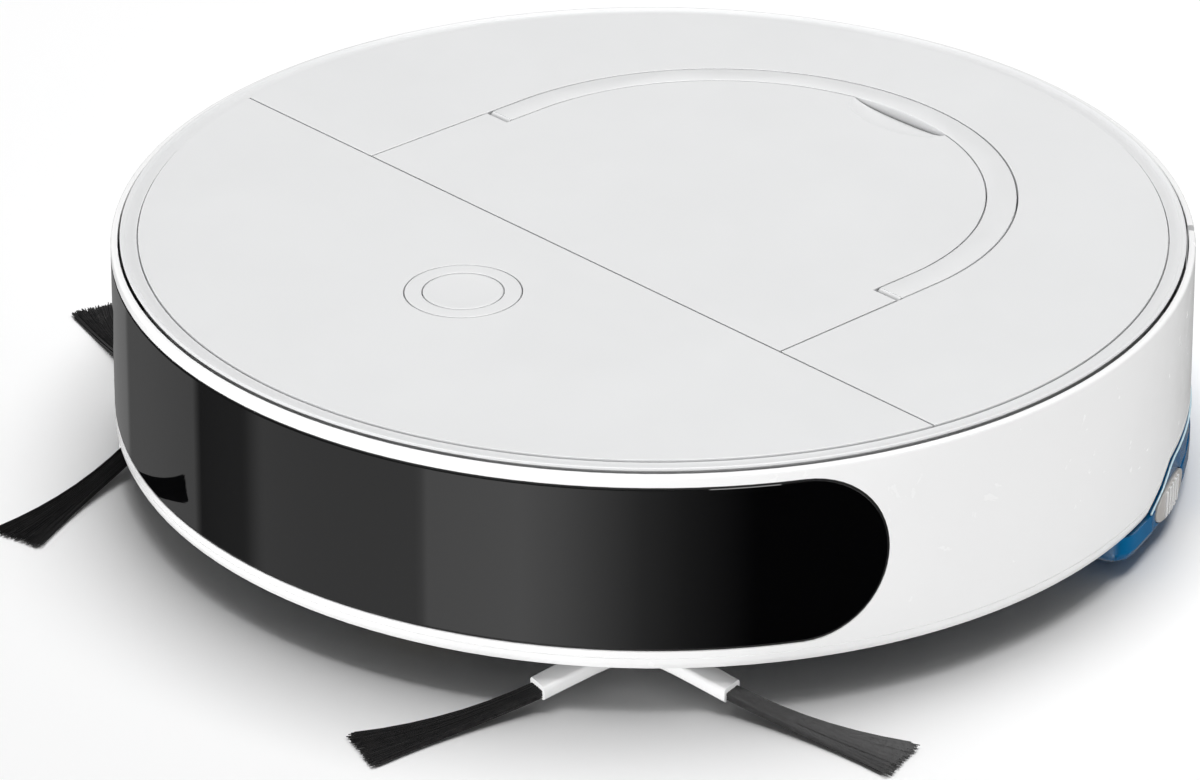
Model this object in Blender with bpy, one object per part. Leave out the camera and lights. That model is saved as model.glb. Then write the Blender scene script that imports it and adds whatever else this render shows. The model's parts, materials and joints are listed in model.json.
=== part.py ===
"""Robotic floor cleaner: a round, low vacuum robot with a lift-out dust bin and a rear mopping tank.

Lengths are in millimetres up to the last step, where a mesh is scaled to metres. The floor is z = 0,
the front of the machine faces -Y, and azimuths are degrees from the front, growing towards +X.
"""

import math

import bmesh
import bpy
from mathutils import Vector

MM = 0.001
ORIGIN_Y = 11.0  # the body's centre stands this far behind the frame origin, which is under the box centre

# Body
RIM_RADIUS = 165.05  # side wall at its top
FOOT_RADIUS = 166.55  # side wall at its foot, which flares a little
WALL_FOOT = 14.0
WALL_CHAMFER = 15.9
WALL_TOP = 74.75
WALL_INNER_TOP = 162.9
WALL_INNER_FOOT = 163.9
BUMPER_END = 134.0  # azimuth at which the bumper stops
REAR_START = 135.3
REAR_FOOT = 23.1
CHASSIS_RADIUS = 160.0
FLOOR_BOTTOM = 14.0
FLOOR_TOP = 17.0
DECK_BOTTOM = 22.9
DECK_TOP = 25.6
TANK_CHORD = 34.0  # the chassis steps up here to make room for the tank
CHASSIS_WALL = (151.5, 154.0)
CHASSIS_WALL_TOP = 70.9

# Top
TOP = 75.6
PANEL_BOTTOM = 73.4
PANEL_RADIUS = 156.7
SEAM_Y = -35.4
SEAM_HALF_GAP = 0.25
D_CENTRE_Y = 29.0
D_OPENING = 91.7
LID_HALF = 91.2
HANDLE_INNER = 82.1
LID_INNER = 81.7
LID_BOTTOM = 68.9
CHANNEL_FLOOR = 71.2
HANDLE_BOTTOM = 71.6
HINGE_Y = 15.4
HINGE_Z = 73.6
HINGE_ROUND = 2.05
BUTTON_Y = -76.7
BUTTON_RADIUS = 12.0
BUTTON_RING = (12.3, 17.4)

# Window in the bumper
WINDOW_HALF = 70.4
WINDOW_Z = (20.3, 70.9)

# Running gear
WHEEL_Y = -3.0
WHEEL_RADIUS = 33.0
WHEEL_X = 105.6
PIVOT = (-40.0, 34.0)
CASTER_Y = -122.0
CASTER_RADIUS = 11.0
CASTER_OFFSET = 4.0
ROLLER_Y = 5.0
ROLLER_Z = 22.4
BRUSH_XY = (104.1, -103.6)
BRUSH_LENGTH = 87.5
BRUSH_ANGLES = {"right": (-104.6, 15.4, 135.4), "left": (-73.5, 166.5, 46.5)}

# Tank
TANK_RADIUS = 167.0
TANK_FRONT = 36.6
TANK_UPPER_HALF = 146.6  # the raised part slides out between the bumper's ends
RELEASE_AZIMUTH = 115.7
RELEASE_Z = 11.6
RELEASE_HALF = (5.0, 5.7)  # degrees, millimetres

WHITE = (0.80, 0.80, 0.80)
LIGHT = (0.72, 0.72, 0.73)
DARK = (0.05, 0.05, 0.055)
BLACK = (0.012, 0.012, 0.014)

for old in list(bpy.data.objects):
    bpy.data.objects.remove(old, do_unlink=True)

materials = {}


def material(name, colour, roughness, metallic=0.0):
    made = materials.get(name)
    if made is None:
        made = bpy.data.materials.new(name)
        made.use_nodes = True
        shader = made.node_tree.nodes["Principled BSDF"]
        shader.inputs["Base Color"].default_value = (*colour, 1.0)
        shader.inputs["Roughness"].default_value = roughness
        shader.inputs["Metallic"].default_value = metallic
        materials[name] = made
    return made


GLOSS_WHITE = material("white_shell", WHITE, 0.35)
SATIN_TOP = material("light_grey_top", LIGHT, 0.42)
INNER_GREY = material("inner_frame", (0.30, 0.31, 0.32), 0.55)
DARK_PLASTIC = material("dark_plastic", DARK, 0.5)
WINDOW_BLACK = material("gloss_black", BLACK, 0.08)
CLEAR_SMOKE = material("smoked_bin", (0.25, 0.27, 0.29), 0.2)
TANK_BLUE = material("blue_tank", (0.01, 0.13, 0.32), 0.1)
RUBBER = material("black_rubber", (0.025, 0.025, 0.025), 0.75)
BRISTLE = material("black_bristle", (0.02, 0.02, 0.02), 0.6)
STEEL = material("steel", (0.6, 0.6, 0.6), 0.3, 1.0)
BRASS = material("contact_brass", (0.75, 0.55, 0.22), 0.3, 1.0)
BOARD_GREEN = material("circuit_board", (0.02, 0.16, 0.06), 0.5)
PAPER = material("filter_paper", (0.75, 0.73, 0.66), 0.9)
CLOTH = material("mop_cloth", (0.62, 0.66, 0.70), 0.95)
BUTTON_GREY = material("release_grey", (0.45, 0.46, 0.47), 0.4)


def at_azimuth(radius, azimuth):
    angle = math.radians(azimuth)
    return radius * math.sin(angle), -radius * math.cos(angle)


class Solid:
    """A bmesh under construction, in millimetres, in body coordinates."""

    def __init__(self):
        self.mesh = bmesh.new()

    def rings(self, rings, loop, capped):
        """Skins equal rings of points. `loop` joins the last ring to the first; `capped` closes the ends."""
        rows = [[self.mesh.verts.new(point) for point in ring] for ring in rings]
        count = len(rows[0])
        pairs = list(zip(rows, rows[1:])) + ([(rows[-1], rows[0])] if loop else [])
        for low, high in pairs:
            for i in range(count):
                j = (i + 1) % count
                self.mesh.faces.new((low[i], low[j], high[j], high[i]))
        if capped:
            self.mesh.faces.new(rows[0])
            self.mesh.faces.new(rows[-1])
        return self

    def tidy(self):
        bmesh.ops.remove_doubles(self.mesh, verts=self.mesh.verts, dist=1e-4)
        loose = [edge for edge in self.mesh.edges if not edge.link_faces]
        bmesh.ops.delete(self.mesh, geom=loose, context="EDGES")
        bmesh.ops.recalc_face_normals(self.mesh, faces=self.mesh.faces)
        return self


def prism(outline, low, high):
    return Solid().rings([[(x, y, z) for x, y in outline] for z in (low, high)], False, True)


def loft(outlines):
    """Outlines of equal length, each with its own height."""
    return Solid().rings([[(x, y, z) for x, y in line] for z, line in outlines], False, True)


def box(x, y, z):
    return prism([(x[0], y[0]), (x[1], y[0]), (x[1], y[1]), (x[0], y[1])], *z)


def turned(profile, steps, centre=(0.0, 0.0), axis="z"):
    """A closed (radius, height) profile turned round the axis that passes through centre."""
    def place(radius, height, angle):
        u, v = radius * math.cos(angle), radius * math.sin(angle)
        if axis == "z":
            return centre[0] + u, centre[1] + v, height
        return height, centre[0] + u, centre[1] + v  # turned round X, centre is (y, z)

    angles = [2 * math.pi * i / steps for i in range(steps)]
    return Solid().rings([[place(r, h, a) for r, h in profile] for a in angles], True, False)


def cylinder(radius, low, high, centre, steps=24, axis="z"):
    return turned([(0, low), (radius, low), (radius, high), (0, high)], steps, centre, axis)


def sector(profile, start, stop, step=5.0):
    """A closed (radius, height) profile swept between two azimuths."""
    count = max(1, round((stop - start) / step))
    azimuths = [start + (stop - start) * i / count for i in range(count + 1)]
    rings = [[(*at_azimuth(r, a), z) for r, z in profile] for a in azimuths]
    return Solid().rings(rings, False, True)


def curved_plate(columns, outer, inner):
    """A plate bent round the body: columns of (azimuth, low, high) between two radius functions of height."""
    rings = []
    for azimuth, low, high in columns:
        ring = [(*at_azimuth(outer(z), azimuth), z) for z in (low, high)]
        ring += [(*at_azimuth(inner(z), azimuth), z) for z in (high, low)]
        rings.append(ring)
    return Solid().rings(rings, False, True)


def d_outline(half, front, steps=22, margin_front=0.0):
    """Straight front and sides, then a half circle to the rear."""
    points = [(-half, front + margin_front), (half, front + margin_front)]
    for i in range(steps + 1):
        angle = math.pi * i / steps
        points.append((half * math.cos(angle), D_CENTRE_Y + half * math.sin(angle)))
    return points


def disc_outline(radius, low_y, high_y, steps=60):
    """A disc cut by one straight edge: the part behind low_y, or the part in front of high_y."""
    if low_y > -radius:
        start = math.degrees(math.acos(-low_y / radius))
        stop = 360.0 - start
    else:
        stop = math.degrees(math.acos(-high_y / radius))
        start = -stop
    count = max(4, round(steps * (stop - start) / 360.0))
    return [at_azimuth(radius, start + (stop - start) * i / count) for i in range(count + 1)]


def finish(name, solid, look, origin=(0.0, 0.0, 0.0), smooth=True, angle=30.0):
    """Makes an object whose origin stands at `origin`, given in body coordinates."""
    solid.tidy()
    shift = Vector(origin)
    for vert in solid.mesh.verts:
        vert.co = (vert.co - shift) * MM
    data = bpy.data.meshes.new(name)
    solid.mesh.to_mesh(data)
    solid.mesh.free()
    if look is not None:
        data.materials.append(look)
    made = bpy.data.objects.new(name, data)
    bpy.context.scene.collection.objects.link(made)
    made.location = (shift + Vector((0.0, ORIGIN_Y, 0.0))) * MM
    if smooth:
        data.shade_smooth()
        data.set_sharp_from_angle(angle=math.radians(angle))
    return made


tool_count = 0


def tool(target, solid, operation):
    global tool_count
    tool_count += 1
    cutter = finish(f"tool_{tool_count:03d}", solid, None, smooth=False)
    cutter.hide_render = True
    cutter.display_type = "WIRE"
    step = target.modifiers.new(f"{operation.lower()}_{tool_count:03d}", "BOOLEAN")
    step.operation = operation
    step.solver = "EXACT"
    step.object = cutter
    return cutter


def cut(target, *solids):
    for solid in solids:
        tool(target, solid, "DIFFERENCE")


def add(target, *solids):
    for solid in solids:
        tool(target, solid, "UNION")


def wall_radius(z):
    share = (z - WALL_FOOT) / (WALL_TOP - WALL_FOOT)
    return FOOT_RADIUS + (RIM_RADIUS - FOOT_RADIUS) * share


# ---------------------------------------------------------------- side wall
WALL_PROFILE = [
    (163.4, WALL_FOOT),
    (165.6, WALL_FOOT),
    (FOOT_RADIUS, WALL_CHAMFER),
    (RIM_RADIUS, 73.9),
    (164.6, 74.6),
    (164.1, WALL_TOP),
    (WALL_INNER_TOP, WALL_TOP),
    (WALL_INNER_FOOT, 20.0),
]


def window_columns(margin):
    """The stadium-shaped window: full-height columns with round ends."""
    low, high = WINDOW_Z[0] - margin, WINDOW_Z[1] + margin
    middle, end_radius = (low + high) / 2, (high - low) / 2
    per_degree = math.radians(1) * wall_radius(middle)
    reach = WINDOW_HALF * per_degree + margin
    straight = reach - end_radius
    shares = (0.0, 0.3, 0.55, 0.75, 0.88, 0.96, 0.995)
    half = [(straight * i / 12, end_radius) for i in range(12)]
    half += [(straight + end_radius * s, end_radius * math.sqrt(1 - s * s)) for s in shares]
    right = [(s / per_degree, middle - h, middle + h) for s, h in half]
    return [(-a, lo, hi) for a, lo, hi in reversed(right[1:])] + right


# The wall's foot rises towards the rear to make room for the tank.
FOOT_LINE = [(108.6, 13.0), (109.0, 14.2), (112.3, 17.9), (114.9, 22.0), (116.2, REAR_FOOT)]


def tank_relief(side):
    line = FOOT_LINE + [(a, REAR_FOOT) for a in (121.0, 125.0, 130.0, 136.0)]
    columns = [(side * a, 6.0, z) for a, z in line]
    return curved_plate(columns, lambda z: 175.0, lambda z: 158.0)


bumper = finish("bumper_shell", sector(WALL_PROFILE, -BUMPER_END, BUMPER_END, 4.0), GLOSS_WHITE)
cut(
    bumper,
    curved_plate(window_columns(0.35), lambda z: 172.0, lambda z: 158.0),
    tank_relief(1),
    tank_relief(-1),
)
finish(
    "bumper_window",
    curved_plate(window_columns(0.0), wall_radius, lambda z: wall_radius(z) - 1.9),
    WINDOW_BLACK,
)
bar_columns = [(-60.0 + 6.0 * i, 33.0, 58.0) for i in range(21)]
finish("sensor_bar", curved_plate(bar_columns, lambda z: 162.5, lambda z: 161.0), DARK_PLASTIC)

rear_profile = [
    (164.2, REAR_FOOT),
    (165.6, REAR_FOOT),
    (wall_radius(25.0), 25.0),
    *WALL_PROFILE[3:7],
    (163.3, 50.0),
    (163.6, 29.2),
    (155.0, 29.2),
    (155.0, 26.4),
    (163.6, 26.4),
]
finish("rear_shell", sector(rear_profile, REAR_START, 360 - REAR_START, 4.0), GLOSS_WHITE)

# ---------------------------------------------------------------- chassis
chassis = finish(
    "base_chassis",
    turned(
        [
            (0, FLOOR_BOTTOM),
            (158.8, FLOOR_BOTTOM),
            (CHASSIS_RADIUS, 15.2),
            (CHASSIS_RADIUS, FLOOR_TOP),
            (CHASSIS_WALL[1], FLOOR_TOP),
            (CHASSIS_WALL[1], CHASSIS_WALL_TOP),
            (CHASSIS_WALL[0], CHASSIS_WALL_TOP),
            (CHASSIS_WALL[0], FLOOR_TOP),
            (0, FLOOR_TOP),
        ],
        72,
    ),
    INNER_GREY,
)
add(chassis, prism(disc_outline(CHASSIS_RADIUS - 0.03, 31.0, 170.0), 14.6, DECK_TOP))
cut(chassis, prism(disc_outline(175.0, TANK_CHORD, 180.0), 5.0, DECK_BOTTOM))
for side in (1, -1):
    pivot_post = box((side * 136.2, side * 146.0), (-47.0, -33.0), (16.0, 41.0))
    spring_post = box((side * 138.0, side * 146.0), (-1.0, 11.0), (16.0, 67.0))
    spring_arm = box((side * 123.0, side * 139.0), (-1.0, 11.0), (63.5, 67.0))
    add(chassis, pivot_post, spring_post, spring_arm)
    cut(
        chassis,
        box((side * 92.3, side * 135.4), (-52.0, 30.2), (10.0, 20.0)),
        cylinder(3.4, *sorted((side * 130.0, side * 144.6)), PIVOT, 20, "x"),
        cylinder(5.0, 10.0, 20.0, (side * BRUSH_XY[0], BRUSH_XY[1]), 16),
        cylinder(13.6, FLOOR_TOP, 80.0, (side * BRUSH_XY[0], BRUSH_XY[1]), 20),
        box((side * 30.0, side * 50.0), (-134.0, -125.0), (12.0, 15.4)),
        box((side * 64.0, side * 80.0), (-126.0, -119.0), (12.0, 19.0)),
    )
cut(
    chassis,
    box((-83.0, 83.0), (-20.8, 29.4), (10.0, 20.0)),
    box((-46.0, 38.0), (-98.5, -55.5), (10.0, 20.0)),
    cylinder(19.4, 10.0, 20.0, (0.0, CASTER_Y), 24),
)

finish(
    "battery_cover",
    box((-45.6, 37.6), (-98.1, -55.9), (14.1, 16.9)),
    INNER_GREY,
    smooth=False,
)
pack = finish(
    "battery_pack",
    box((-44.0, 36.0), (-96.5, -57.5), (17.6, 38.0)),
    material("battery_wrap", (0.03, 0.10, 0.28), 0.35),
    smooth=False,
)
soften = pack.modifiers.new("edges", "BEVEL")
soften.width = 3.0 * MM
soften.segments = 2
for side, word in ((1, "right"), (-1, "left")):
    finish(
        f"charging_contact_{word}",
        box((side * 30.4, side * 49.6), (-133.6, -125.4), (13.6, 15.0)),
        BRASS,
        smooth=False,
    )
    finish(
        f"cliff_sensor_{word}",
        box((side * 64.4, side * 79.6), (-125.6, -119.4), (13.8, 24.0)),
        WINDOW_BLACK,
        smooth=False,
    )
    motor = turned(
        [
            (0, 10.4),
            (2.7, 10.4),
            (2.7, 17.4),
            (13.0, 17.4),
            (13.0, 33.0),
            (9.0, 33.0),
            (9.0, 44.0),
            (0, 44.0),
        ],
        16,
        (side * BRUSH_XY[0], BRUSH_XY[1]),
    )
    finish(f"side_brush_motor_{word}", motor, DARK_PLASTIC)

# ---------------------------------------------------------------- top
finish(
    "top_ring",
    turned(
        [
            (162.2, 75.15),
            (161.9, 75.85),
            (161.2, 75.9),
            (158.8, 75.05),
            (157.1, 75.0),
            (157.1, 73.1),
            (148.5, 73.1),
            (148.5, 71.2),
            (160.3, 71.2),
            (160.3, 75.15),
        ],
        60,
    ),
    SATIN_TOP,
)

PANEL_EDGE = ((PANEL_BOTTOM, 0.0), (75.0, 0.0), (75.4, 0.35), (TOP, 0.9))


def panel(low_y, high_y):
    """A flat piece of the disc whose round edge is softened."""
    outlines = []
    for z, inset in PANEL_EDGE:
        line = disc_outline(PANEL_RADIUS, low_y, high_y, 72)
        shrunk = []
        for x, y in line:
            scale = 1 - inset / max(math.hypot(x, y), 1.0) if math.hypot(x, y) > PANEL_RADIUS - 0.2 else 1
            shrunk.append((x * scale, min(max(y * scale, low_y), high_y)))
        outlines.append((z, shrunk))
    return loft(outlines)


front_panel = finish("front_top_panel", panel(-200.0, SEAM_Y - SEAM_HALF_GAP), SATIN_TOP)
cut(front_panel, cylinder(BUTTON_RING[1] + 0.3, 70.0, 80.0, (0.0, BUTTON_Y), 36))
rear_panel = finish("rear_top_panel", panel(SEAM_Y + SEAM_HALF_GAP, 200.0), SATIN_TOP)
cut(rear_panel, prism(d_outline(D_OPENING, SEAM_Y, 28, -3.0), 70.0, 80.0))
ring_profile = [
    (BUTTON_RING[0], PANEL_BOTTOM),
    (BUTTON_RING[1], PANEL_BOTTOM),
    (BUTTON_RING[1], TOP - 0.3),
    (BUTTON_RING[1] - 0.4, TOP),
    (BUTTON_RING[0], TOP),
]
finish("button_ring", turned(ring_profile, 32, (0.0, BUTTON_Y)), SATIN_TOP)
button_profile = [
    (0, 61.8),
    (3.0, 61.8),
    (3.0, 73.6),
    (BUTTON_RADIUS, 73.6),
    (BUTTON_RADIUS, TOP - 0.3),
    (BUTTON_RADIUS - 0.5, TOP),
    (0, TOP),
]
finish(
    "power_button",
    turned(button_profile, 28, (0.0, BUTTON_Y)),
    SATIN_TOP,
    origin=(0.0, BUTTON_Y, TOP),
)

# ---------------------------------------------------------------- inside, front
board = finish(
    "main_board",
    box((-26.0, 92.0), (-106.0, -46.0), (56.4, 58.0)),
    BOARD_GREEN,
    smooth=False,
)
add(
    board,
    box((-3.0, 3.0), (BUTTON_Y - 3.0, BUTTON_Y + 3.0), (57.5, 60.9)),
    box((20.0, 34.0), (-92.0, -78.0), (57.5, 60.0)),
    box((50.0, 60.0), (-74.0, -64.0), (57.5, 59.6)),
    box((60.0, 84.0), (-102.0, -94.0), (57.5, 64.0)),
)

FAN_XY = (-62.0, -72.0)
scroll = [(28.0, 44.0), (30.0, 44.0), (30.0, 69.0), (0, 69.0), (0, 67.0), (28.0, 67.0)]
fan = finish("fan_housing", turned(scroll, 28, FAN_XY), INNER_GREY)
add(fan, box((-82.0, -42.0), (-50.6, -38.7), (50.5, 68.0)))
cut(
    fan,
    box((-80.0, -44.0), (-56.0, -36.0), (52.5, 66.0)),
    box((-97.0, -83.3), (-80.3, -64.6), (55.2, 63.4)),
)
motor_profile = [
    (0, 17.6),
    (14.0, 17.6),
    (14.0, 46.0),
    (6.0, 48.5),
    (1.5, 48.5),
    (1.5, 60.5),
    (0, 60.5),
]
finish("fan_motor", turned(motor_profile, 18, FAN_XY), STEEL)


def blade_outline(centre, inner, outer, count):
    """A toothed wheel: swept blades standing on a hub."""
    points = []
    pitch = 2 * math.pi / count
    for i in range(count):
        for radius, share in ((inner, 0.0), (outer, 0.34), (outer, 0.42), (inner, 0.16)):
            angle = pitch * (i + share)
            points.append((centre[0] + radius * math.cos(angle), centre[1] + radius * math.sin(angle)))
    return points


impeller = finish(
    "impeller",
    prism(blade_outline(FAN_XY, 8.0, 20.0, 9), 50.0, 61.0),
    material("impeller_nylon", (0.55, 0.55, 0.55), 0.5),
    origin=(*FAN_XY, 50.0),
    smooth=False,
)
add(impeller, cylinder(20.8, 49.0, 50.6, FAN_XY, 28))
cut(impeller, cylinder(1.8, 47.0, 61.5, FAN_XY, 16))

gearbox = finish(
    "roller_gearbox",
    box((85.4, 95.0), (-70.0, 14.0), (19.0, 45.0)),
    DARK_PLASTIC,
    smooth=False,
)
add(gearbox, cylinder(11.0, 42.0, 86.0, (-58.0, 32.0), 24, "x"))

# ---------------------------------------------------------------- bin bay with the roller chamber below it
BAY_HALF = 91.8
bay = finish("bin_bay", prism(d_outline(BAY_HALF + 2.0, -38.0, 22), 47.6, 72.8), INNER_GREY)


def d_rear(half, from_y, steps=24):
    """The rear part of the D, from a straight line at from_y."""
    start = math.asin((from_y - D_CENTRE_Y) / half)
    points = []
    for i in range(steps + 1):
        angle = start + (math.pi - 2 * start) * i / steps
        points.append((half * math.cos(angle), D_CENTRE_Y + half * math.sin(angle)))
    return points


add(
    bay,
    box((-84.8, 84.8), (-22.6, 30.7), (17.3, 48.4)),
    box((-84.8, 84.8), (30.0, 37.2), (25.9, 48.4)),
    prism(d_rear(BAY_HALF + 1.98, 34.6 - 2.0, 22), 25.9, 48.2),
)
cut(
    bay,
    prism(d_outline(BAY_HALF, -36.0, 22), 49.2, 80.0),
    prism(d_rear(BAY_HALF - 0.02, 36.7, 22), 27.9, 52.0),
    box((-82.8, 82.8), (-20.6, 28.7), (10.0, 46.4)),
    box((-62.0, 62.0), (27.0, 39.0), (29.6, 44.4)),
    box((-80.0, -44.0), (-41.0, -34.0), (52.5, 66.0)),
    cylinder(3.5, -90.0, 90.0, (ROLLER_Y, ROLLER_Z), 20, "x"),
)

# ---------------------------------------------------------------- lift-out dust bin
BIN_HALF = 90.2
dust_bin = finish("dust_bin", prism(d_outline(BIN_HALF, -34.6, 22), 49.7, 68.5), CLEAR_SMOKE)
add(dust_bin, prism(d_rear(BIN_HALF - 0.02, 37.3, 22), 28.4, 51.0))
cut(
    dust_bin,
    prism(d_outline(BIN_HALF - 2.0, -32.6, 22), 51.5, 75.0),
    prism(d_rear(BIN_HALF - 2.02, 39.3, 22), 30.2, 55.0),
    box((-60.0, 60.0), (35.0, 41.0), (31.6, 43.6)),
    box((-80.0, -44.0), (-38.0, -31.0), (54.0, 66.0)),
)

lid_rows = [(LID_BOTTOM, 0.0), (75.2, 0.0), (TOP, 0.4)]
lid = finish(
    "bin_lid",
    loft([(z, d_outline(LID_HALF - i, SEAM_Y + SEAM_HALF_GAP + i, 28)) for z, i in lid_rows]),
    SATIN_TOP,
)
channel = tool(lid, prism(d_outline(LID_HALF + 4.0, 12.8, 20), CHANNEL_FLOOR, 80.0), "DIFFERENCE")
cut(channel, prism(d_outline(LID_INNER, -60.0, 28), 60.0, 90.0))  # the channel runs round the lid's middle
cut(
    lid,
    prism(d_outline(LID_INNER - 12.0, -27.0, 16), 60.0, 73.2),
    cylinder(1.3, 74.0, 95.0, (HINGE_Y, HINGE_Z), 16, "x"),
    cylinder(1.3, -95.0, -74.0, (HINGE_Y, HINGE_Z), 16, "x"),
)
scoop = Solid()
bmesh.ops.create_uvsphere(scoop.mesh, u_segments=20, v_segments=12, radius=1.0)
for vert in scoop.mesh.verts:
    vert.co = Vector((vert.co.x * 20.5, 108.0 + vert.co.y * 11.0, 76.6 + vert.co.z * 4.6))
cut(lid, scoop)


def u_band(inset):
    """The bail: a U-shaped band, open to the front."""
    outer = d_outline(LID_HALF - inset, HINGE_Y, 28)
    inner = d_outline(HANDLE_INNER + inset, HINGE_Y, 28)
    return outer[1:] + [outer[0]] + [inner[0]] + list(reversed(inner[1:]))


handle = finish(
    "carry_handle",
    loft([
        (HANDLE_BOTTOM, u_band(0.0)),
        (75.1, u_band(0.0)),
        (TOP, u_band(0.5)),
    ]),
    SATIN_TOP,
    origin=(0.0, HINGE_Y, HINGE_Z),
)
for side in (1, -1):
    reach = sorted((side * (HANDLE_INNER + 0.5), side * (LID_HALF - 0.5)))
    add(handle, cylinder(HINGE_ROUND - 0.2, *reach, (HINGE_Y + 0.3, HINGE_Z), 18, "x"))
    cut(handle, cylinder(1.3, *sorted((side * 80.0, side * 88.4)), (HINGE_Y, HINGE_Z), 16, "x"))
for side, word in ((1, "right"), (-1, "left")):
    finish(
        f"handle_pin_{word}",
        cylinder(1.0, *sorted((side * 76.5, side * 88.0)), (HINGE_Y, HINGE_Z), 16, "x"),
        STEEL,
    )

frame = finish(
    "filter_frame",
    box((-84.0, -40.0), (-32.2, -23.6), (51.8, 67.8)),
    DARK_PLASTIC,
    smooth=False,
)
cut(frame, box((-81.0, -43.0), (-36.0, -20.0), (54.4, 65.2)))
pleats = []
PLEAT_COUNT = 9
for i in range(PLEAT_COUNT + 1):
    pleats.append((-80.4 + 36.8 * i / PLEAT_COUNT, -31.0 if i % 2 else -26.0))
band = pleats + [(x, y + 0.9) for x, y in reversed(pleats)]
finish("pleated_filter", prism(band, 54.8, 64.8), PAPER, smooth=False)
finish(
    "inlet_flap",
    box((-61.5, 61.5), (39.7, 40.9), (30.8, 46.2)),
    RUBBER,
    origin=(0.0, 40.3, 46.0),
    smooth=False,
)

# ---------------------------------------------------------------- running gear
for side, word in ((1, "right"), (-1, "left")):
    def span(a, b, side=side):
        return sorted((side * a, side * b))

    tread = [
        (28.0, WHEEL_X - 10.0),
        (31.6, WHEEL_X - 10.0),
        (WHEEL_RADIUS, WHEEL_X - 8.4),
        (WHEEL_RADIUS, WHEEL_X + 8.4),
        (31.6, WHEEL_X + 10.0),
        (28.0, WHEEL_X + 10.0),
    ]
    axle_centre = (WHEEL_Y, WHEEL_RADIUS)
    origin = (side * WHEEL_X, WHEEL_Y, WHEEL_RADIUS)
    finish(
        f"tyre_{word}",
        turned([(r, side * x) for r, x in tread], 36, axle_centre, "x"),
        RUBBER,
        origin=origin,
    )
    hub = [
        (4.4, WHEEL_X - 6.0),
        (22.0, WHEEL_X - 6.0),
        (23.0, WHEEL_X - 9.0),
        (27.7, WHEEL_X - 9.0),
        (27.7, WHEEL_X + 9.0),
        (4.4, WHEEL_X + 9.0),
    ]
    finish(
        f"wheel_hub_{word}",
        turned([(r, side * x) for r, x in hub], 20, axle_centre, "x"),
        INNER_GREY,
        origin=origin,
    )
    pivot = (side * 129.0, *PIVOT)
    outline = []
    for i in range(9):
        angle = math.radians(90 + 180 * i / 8)
        outline.append((PIVOT[0] + 8.0 * math.cos(angle), PIVOT[1] + 8.0 * math.sin(angle)))
    for i in range(9):
        angle = math.radians(-90 + 180 * i / 8)
        outline.append((WHEEL_Y + 13.0 * math.cos(angle), WHEEL_RADIUS + 13.0 * math.sin(angle)))
    rings = [[(x, y, z) for y, z in outline] for x in (side * 124.4, side * 134.6)]
    arm = finish(f"wheel_arm_{word}", Solid().rings(rings, False, True), DARK_PLASTIC, origin=pivot)
    add(
        arm,
        cylinder(4.0, *span(WHEEL_X - 7.4, 126.0), axle_centre, 20, "x"),
        cylinder(3.0, *span(133.0, 144.0), PIVOT, 20, "x"),
        box(span(124.41, 134.59), (0.0, 10.0), (40.0, 47.0)),
    )
    coil = Solid()
    turns, around, wire, radius = 4, 8, 0.8, 4.2
    low, high = 48.1, 62.4
    centre = (side * 129.5, 5.0)
    coil_rings = []
    for i in range(turns * around + 1):
        share = i / (turns * around)
        angle = 2 * math.pi * turns * share
        ring = []
        for k in range(4):
            turn = math.pi / 4 + math.pi / 2 * k
            r = radius + wire * math.cos(turn)
            z = low + (high - low) * share + wire * math.sin(turn)
            ring.append((centre[0] + r * math.cos(angle), centre[1] + r * math.sin(angle), z))
        coil_rings.append(ring)
    finish(
        f"suspension_spring_{word}",
        coil.rings(coil_rings, False, True),
        STEEL,
        origin=(*centre, high),
    )

socket = [
    (17.0, 14.3),
    (19.0, 14.3),
    (19.0, 17.3),
    (22.5, 17.3),
    (22.5, 19.3),
    (19.0, 19.3),
    (19.0, 31.0),
    (8.0, 31.0),
    (8.0, 42.0),
    (4.4, 42.0),
    (4.4, 28.6),
    (17.0, 28.6),
]
finish("caster_socket", turned(socket, 20, (0.0, CASTER_Y)), DARK_PLASTIC)
fork = finish(
    "caster_fork",
    turned(
        [(0, 24.6), (15.6, 24.6), (15.6, 27.0), (10.0, 28.2), (4.0, 28.2), (4.0, 41.0), (0, 41.0)],
        20,
        (0.0, CASTER_Y),
    ),
    DARK_PLASTIC,
    origin=(0.0, CASTER_Y, 28.2),
)
caster_axle = (CASTER_Y + CASTER_OFFSET, CASTER_RADIUS)
for side in (1, -1):
    leg = box(
        sorted((side * 6.4, side * 9.0)),
        (caster_axle[0] - 4.5, caster_axle[0] + 4.5),
        (7.5, 25.5),
    )
    add(fork, leg)
cut(fork, cylinder(1.5, -12.0, 12.0, caster_axle, 16, "x"))
wheel = [
    (1.6, -5.6),
    (9.6, -5.6),
    (CASTER_RADIUS, -4.2),
    (CASTER_RADIUS, 4.2),
    (9.6, 5.6),
    (1.6, 5.6),
]
finish(
    "caster_wheel",
    turned(wheel, 24, caster_axle, "x"),
    RUBBER,
    origin=(0.0, *caster_axle),
)
finish("caster_axle", cylinder(1.2, -8.9, 8.9, caster_axle, 14, "x"), STEEL)

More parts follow.
